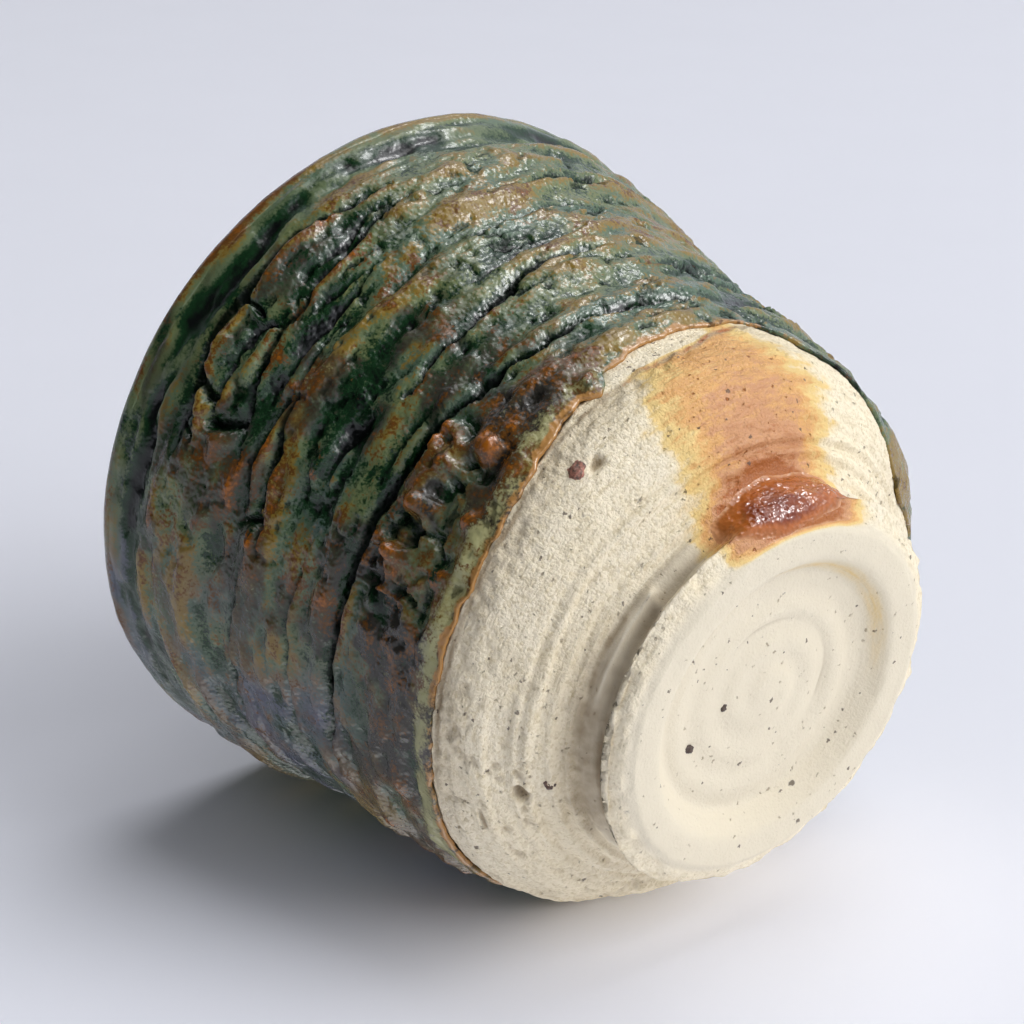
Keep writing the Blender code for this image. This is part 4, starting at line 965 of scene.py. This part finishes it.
class SAKECUP_OT_outer_glaze(bpy.types.Operator):
    """Makes the carved green coat, from inside the lip down to its ragged lower edge"""

    bl_idname = "sake_cup.outer_glaze"
    bl_label = "Outer glaze"

    def execute(self, context):
        size = in_mm()
        bearing = bearings(COAT_COLUMNS)[None, :]
        place = turned(bearing, EDGE_ARC, 0.0)
        edge = along_line(GLAZE_LINE, bearing) + 0.24 * layered_noise(place, 1.6, 4, 131)
        top = size["height"] - 1.5 + 0.25 * noise(place, 16, 133)
        crest = size["lip_thickness"] / 2
        turn = np.radians(np.linspace(-35, 175, LIP_ROWS))[::-1, None]
        lip_r = coat_radius(size, top) + 0.45 - crest + crest * np.cos(turn)
        lip_z = top + 1.4 * np.sin(turn)
        wall_z = top + (edge - top) * np.linspace(0, 1, WALL_ROWS + 1)[1:, None]
        wall_r = coat_radius(size, wall_z) - 0.06 * (1 - smooth(0.0, 0.9, wall_z - edge))
        wall_r = wall_r + 0.4 * smooth(30, 48, wall_z)
        roll = np.radians(np.linspace(0, 180, 6))[1:, None]
        roll_r = coat_radius(size, edge) - 0.26 + 0.2 * np.cos(roll)
        roll_z = edge - 0.12 * np.sin(roll)
        back = np.linspace(0, 1, 8)[1:-1, None]
        back_z = edge + (top - edge) * back
        back_r = coat_radius(size, back_z) - 0.6 - 1.2 * smooth(0.0, 0.2, back)
        radius = np.concatenate([lip_r, wall_r, roll_r, back_r])
        height = np.concatenate([lip_z, wall_z, roll_z, back_z])
        outward = np.zeros_like(radius)
        outward[:LIP_ROWS] = np.cos(turn)
        outward[LIP_ROWS:LIP_ROWS + WALL_ROWS] = 1
        bearing = np.broadcast_to(bearing, radius.shape)
        rise, masks = glaze_relief(bearing, height)
        over = height - edge
        carved = smooth(-0.3, 1.3, over) * (1 - 0.75 * smooth(-1.5, 0.5, height - top))
        self.tint_edge(masks, bearing, height, over)
        points = turned(bearing, radius + rise * carved * outward, height)
        piece = put_surface("carved_green_glaze", points, masks, loop=True)
        material = copper_green_glaze(context.scene.cup_colours, "copper_green_glaze_dipped")
        dress(piece, material, "outer_glaze")
        return {"FINISHED"}

    def tint_edge(self, masks, bearing, height, over):
        """Adds the masks of the iron line and the pale band at the coat's lower edge, thinning the rest."""
        place = turned(bearing, EDGE_ARC, height)
        ragged = 0.14 * layered_noise(place, 1.2, 2, 135)
        broken = layered_noise(turned(bearing, EDGE_ARC, 0 * height), 2.4, 3, 137)
        edge = (1 - smooth(0.0, 0.48, over + 1.8 * ragged)) * np.clip(0.85 + 0.6 * broken, 0, 1)
        band = between(bearing, -95, -75, 12, 32)
        patchy = np.clip(0.75 + 0.6 * layered_noise(place, 2.2, 3, 139), 0, 1)
        pale = bell(over, 0.9, 0.5 + 0.5 * band) * (0.35 + 0.65 * band) * patchy
        masks["edge"] = edge * (1 - 0.75 * smooth(60, 72, bearing))
        masks["pale"] = pale
        masks["rust"] = masks["rust"] - 0.6 * pale
        masks["umber"] = masks["umber"] * (1 - 0.8 * pale)
        masks["thick"] = masks["thick"] - 0.25 * pale


class SAKECUP_OT_liner_glaze(bpy.types.Operator):
    """Makes the coat on the inside, with soft throwing rings and a darker pool on the floor"""

    bl_idname = "sake_cup.liner_glaze"
    bl_label = "Liner glaze"

    def execute(self, context):
        size = in_mm()
        floor, corner, top = size["floor_height"], size["corner_height"], size["height"] - 2.2
        curve_z = floor + (corner - floor) * (1 - np.cos(np.linspace(0, 1.45, LINER_CORNER_ROWS)))
        wall_z = np.concatenate([curve_z, np.linspace(corner, top, LINER_WALL_ROWS)])
        wall_r = inside_radius(size, wall_z)
        flat_r = np.linspace(0.2, 1, LINER_FLAT_ROWS + 1)[:-1] * wall_r[0]
        back_z = np.linspace(top, floor - 0.8, 8)[1:]
        back_r = inside_radius(size, np.maximum(back_z, floor)) + 0.6
        radii = np.concatenate([flat_r, wall_r, [wall_r[-1] + 0.5], back_r, [0.3]])
        heights = np.concatenate([floor + 0 * flat_r, wall_z, [top + 0.3], back_z, [floor - 0.8]])
        bearing, radius = np.meshgrid(np.linspace(-180, 180, LINER_COLUMNS, endpoint=False), radii)
        height = np.broadcast_to(heights[:, None], radius.shape)
        place = turned(bearing, radius, height)
        seen = (np.arange(len(radii)) < len(flat_r) + len(wall_r))[:, None]
        rings = np.sin(2 * np.pi * (height / 4.6 - bearing / 360)) * smooth(floor + 4, floor + 12, height)
        wave = layered_noise(squeezed(place, 2.5), 9, 2, 141)
        rise = (0.16 * rings + 0.12 * wave) * seen * (1 - smooth(top - 2, top, height))
        eddy = 0.12 * np.sin(2 * np.pi * (radius / 3.4 - bearing / 360)) * smooth(0.8, 2.5, radius)
        points = turned(bearing, radius - rise, height + eddy * (height < floor + 0.5) * seen)
        veil = layered_noise(squeezed(place, 2.0), 5, 3, 143)
        pool = 1 - smooth(floor + 0.5, floor + 6, height)
        masks = {"thick": 0.52 - 0.22 * veil - 0.2 * rings + 0.45 * pool - 0.4 * smooth(top - 3, top, height),
                 "rust": 0.25 + 0.3 * layered_noise(place, 2, 3, 145), "haze": np.clip(0.4 * wave, 0, 1),
                 "teal": np.clip(0.5 + 0.5 * wave, 0, 1), "umber": np.clip(0.5 * veil, 0, 1),
                 "edge": 0.0, "dark": 0.0, "pale": 0.0, "calm": 0.5}
        piece = put_surface("liner_green_glaze", points, masks)
        material = copper_green_glaze(context.scene.cup_colours, "copper_green_glaze_poured")
        dress(piece, material, "liner_glaze")
        return {"FINISHED"}


class SAKECUP_OT_flash_glass(bpy.types.Operator):
    """Makes the film of fused glass in the waist, thick in the middle and feathered into the clay"""

    bl_idname = "sake_cup.flash_glass"
    bl_label = "Flash glass"

    def execute(self, context):
        size = in_mm()
        path = clay_path(size)
        run, radius, height = path[:3]
        start = run[np.argmax(radius >= size["foot_face_diameter"] / 2)]
        end = run[np.argmax((height > GLASS_TOP) & (radius > 16))]
        foot, low = size["foot_diameter"] / 2, size["belly_start_height"]
        flowed = [(size["foot_face_diameter"] / 2, 0.0), (foot - 0.25, 0.75), (foot + 0.3, 1.5),
                  (foot + 0.25, 2.8), (size["belly_start_diameter"] / 2 + 0.15, low),
                  (belly_radius(size, GLASS_TOP) + 0.05, GLASS_TOP)]
        flow, flow_r, flow_z = rounded_path(flowed, 1.4)
        out = np.concatenate([np.linspace(0.02, 1, GLASS_ROWS), np.linspace(1, 0.05, 12)[1:]])[:, None]
        front = (np.arange(len(out)) < GLASS_ROWS)[:, None]
        turn = np.linspace(0, 2 * np.pi, GLASS_COLUMNS, endpoint=False)[None, :]
        outline = 1 + 0.05 * np.sin(3 * turn + 0.6) + 0.03 * np.sin(7 * turn + 2.0) + 0.02 * np.sin(13 * turn)
        bearing = GLASS_MIDDLE + GLASS_HALF * out * outline * np.cos(turn)
        share = 0.48 + 0.43 * out * outline * np.sin(turn) + 0.05 * np.cos(turn) * out
        film = smooth(0.0, 0.8, 1 - out ** 2)
        place = turned(bearing, 16.0, 7 * share)
        ripple = 0.07 * layered_noise(place, 0.9, 2, 153)
        ripple = ripple + 0.06 * smooth(0, 0.5, seam_gap(squeezed(place, 1.4), 0.9, 151))
        sunk = -0.04 - 0.4 * np.where(front, 0.0, 1 - smooth(0.8, 1.0, out))
        points = clay_surface(size, path, bearing, start + (end - start) * share, sunk)[0]
        flow_r = np.interp(share * flow[-1], flow, flow_r) + ripple
        wet = turned(bearing, flow_r, np.interp(share * flow[-1], flow, flow_z))
        points = points + (wet - points) * (film * front)[..., None]
        depth = 1.05 * film * (0.84 + 0.16 * np.cos(turn + 2.6))
        piece = put_surface("fused_flash_glass", points, {"depth": depth})
        dress(piece, fused_flash_glass(context.scene.cup_colours), "flash_glass")
        return {"FINISHED"}


class SAKECUP_OT_iron_stones(bpy.types.Operator):
    """Makes the four stones caught in the clay, as broken lumps where their CAD nodes are"""

    bl_idname = "sake_cup.iron_stones"
    bl_label = "Iron stones"

    def execute(self, context):
        material = iron_stone(context.scene.cup_colours)
        tilt = np.radians(np.linspace(-86, 86, STONE_ROWS))[:, None]
        turn = np.linspace(0, 2 * np.pi, STONE_COLUMNS, endpoint=False)[None, :]
        ball = np.stack(np.broadcast_arrays(
            np.cos(tilt) * np.cos(turn), np.cos(tilt) * np.sin(turn), np.sin(tilt)), -1)
        for node, seed, red, whole in STONES:
            low, high = (np.array(corner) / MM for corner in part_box(node))
            centre, half = (low + high) / 2, (high - low) / 2
            seams = 1 - smooth(0, 0.25, seam_gap(ball + seed, 0.75, seed))
            rough = whole + 0.2 * layered_noise(ball + seed, 0.8, 3, seed) - 0.04 * seams
            piece = put_surface(f"{node}_broken", centre + ball * half * rough[..., None], {"red": red})
            dress(piece, material, node)
        return {"FINISHED"}


class SAKECUP_OT_stage(bpy.types.Operator):
    """Makes the pale floor that the cup lies on, the soft lamps, the sky light and the camera"""

    bl_idname = "sake_cup.stage"
    bl_label = "Stage"

    def execute(self, context):
        scene = context.scene
        forward, up = Vector(CAMERA_FORWARD).normalized(), Vector(CAMERA_UP).normalized()
        right = forward.cross(up).normalized()
        camera = bpy.data.objects.new("photo_camera", bpy.data.cameras.new("photo_camera"))
        camera.data.lens, camera.data.sensor_width = CAMERA_LENS, CAMERA_SENSOR
        camera.data.clip_start, camera.data.clip_end = 0.01, 20.0
        axes = Matrix((right, right.cross(forward), -forward)).transposed().to_4x4()
        camera.matrix_world = Matrix.Translation(Vector(CAMERA_PLACE) * MM) @ axes
        scene.collection.objects.link(camera)
        scene.camera = camera
        normal = Vector(FLOOR_NORMAL).normalized()
        floor = self.floor(scene, normal)
        back = (forward - normal * forward.dot(normal)).normalized()
        self.lamps(scene, normal, right, back)
        clear_of_floor = bpy.data.collections.new("lamp_passes_floor")
        clear_of_floor.objects.link(floor)
        clear_of_floor.collection_objects[0].light_linking.link_state = "EXCLUDE"
        bpy.data.objects["under_fill"].light_linking.blocker_collection = clear_of_floor
        self.sky(scene)
        scene.view_settings.view_transform = "Standard"
        return {"FINISHED"}

    def lamps(self, scene, normal, right, back):
        """Square lamps round the cup's middle, each at its turn from the right and rise over the floor."""
        middle = Vector((0, 0, LAMP_AIM * MM))
        for name, turn, rise, wide in STUDIO_LAMPS:
            turn, rise = math.radians(turn), math.radians(rise)
            way = (right * math.cos(turn) - back * math.sin(turn)) * math.cos(rise) + normal * math.sin(rise)
            lamp = bpy.data.objects.new(name, bpy.data.lights.new(name, "AREA"))
            lamp.data.size, lamp.data.energy = wide, getattr(scene.cup_light, name)
            lamp.location = middle + way.normalized() * LAMP_DISTANCE
            lamp.rotation_mode = "QUATERNION"
            lamp.rotation_quaternion = (-way).to_track_quat("-Z", "Y")
            lamp.visible_camera = False
            lamp.visible_glossy = name != LAMP_WITHOUT_GLINT
            lamp.visible_diffuse = name not in LAMPS_THAT_ONLY_GLINT
            scene.collection.objects.link(lamp)

    def floor(self, scene, normal):
        """A flat disc of widening rings on the plane where normal · point is the floor's offset."""
        across = normal.orthogonal().normalized()
        along = normal.cross(across)
        rings = np.concatenate([[0.0], np.geomspace(0.02, FLOOR_REACH, FLOOR_RINGS)])[:, None]
        turn = np.linspace(0, 2 * np.pi, FLOOR_COLUMNS, endpoint=False)[None, :]
        flat = np.stack(np.broadcast_arrays(rings * np.cos(turn), rings * np.sin(turn)), -1)
        points = flat @ np.array([across, along]) + np.array(normal) * FLOOR_OFFSET * MM
        grid = np.arange(rings.size * turn.size).reshape(rings.size, turn.size)
        quads = np.stack([grid[:-1], grid[1:], np.roll(grid[1:], -1, 1), np.roll(grid[:-1], -1, 1)], -1)
        mesh = bpy.data.meshes.new("paper_floor")
        mesh.from_pydata(points.reshape(-1, 3).tolist(), [], quads.reshape(-1, 4).tolist())
        mesh.materials.append(paper_floor(scene.cup_colours))
        floor = bpy.data.objects.new("paper_floor", mesh)
        scene.collection.objects.link(floor)
        return floor

    def sky(self, scene):
        """Even cool light, shown to camera and reflections as the pale backdrop with one unlit side."""
        world = bpy.data.worlds.new("soft_sky")
        world.use_nodes = True
        world.node_tree.nodes.clear()
        add = partial(add_node, world.node_tree)
        ambient = scene.cup_light.ambient
        light = add("Background", {"Color": (0.92, 0.96, 1.0, 1), "Strength": ambient})[0]
        way = add("TexCoord")["Generated"]
        unlit = add("VectorMath", {0: way, 1: UNLIT_SIDE}, operation="DOT_PRODUCT")["Value"]
        lit = add("MapRange", {0: unlit, 1: 0.3, 2: 0.75, 3: 1.0, 4: 0.06},
                  interpolation_type="SMOOTHSTEP")[0]
        shown = add("Background", {"Color": (*scene.cup_colours.backdrop, 1), "Strength": lit})[0]
        ray = add("LightPath")
        plain = ray["Is Camera Ray"]
        for kind in ("Is Glossy Ray", "Is Transmission Ray"):
            plain = add("Math", {0: plain, 1: ray[kind]}, operation="MAXIMUM")[0]
        add("OutputWorld", {0: add("MixShader", {0: plain, 1: light, 2: shown})[0]})
        scene.world = world


class SAKECUP_PT_cup(bpy.types.Panel):
    """Lists the cup's pieces, sizes, colours and light"""

    bl_idname = "SAKECUP_PT_cup"
    bl_label = "Sake Cup"
    bl_space_type = "VIEW_3D"
    bl_region_type = "UI"
    bl_category = "Sake Cup"

    def draw(self, context):
        for operator in OPERATORS:
            self.layout.operator(operator.bl_idname)
        for group, kind in GROUPS.items():
            for key in kind.__annotations__:
                self.layout.prop(getattr(context.scene, group), key)


GROUPS = {"cup_sizes": CupSizes, "cup_colours": CupColours, "cup_light": StageLight}
OPERATORS = (SAKECUP_OT_clay_body, SAKECUP_OT_outer_glaze, SAKECUP_OT_liner_glaze, SAKECUP_OT_flash_glass,
             SAKECUP_OT_iron_stones, SAKECUP_OT_stage)
CLASSES = (*GROUPS.values(), *OPERATORS, SAKECUP_PT_cup)


def register():
    """Adds the classes and the scene's groups of settings."""
    for kind in CLASSES:
        bpy.utils.register_class(kind)
    for group, kind in GROUPS.items():
        setattr(bpy.types.Scene, group, bpy.props.PointerProperty(type=kind))


def unregister():
    """Takes the settings and classes away again."""
    for group in GROUPS:
        delattr(bpy.types.Scene, group)
    for kind in reversed(CLASSES):
        bpy.utils.unregister_class(kind)


def main():
    """Makes every piece and the stage."""
    register()
    bpy.ops.sake_cup.clay_body()
    bpy.ops.sake_cup.outer_glaze()
    bpy.ops.sake_cup.liner_glaze()
    bpy.ops.sake_cup.flash_glass()
    bpy.ops.sake_cup.iron_stones()
    bpy.ops.sake_cup.stage()


if __name__ == "__main__":
    main()
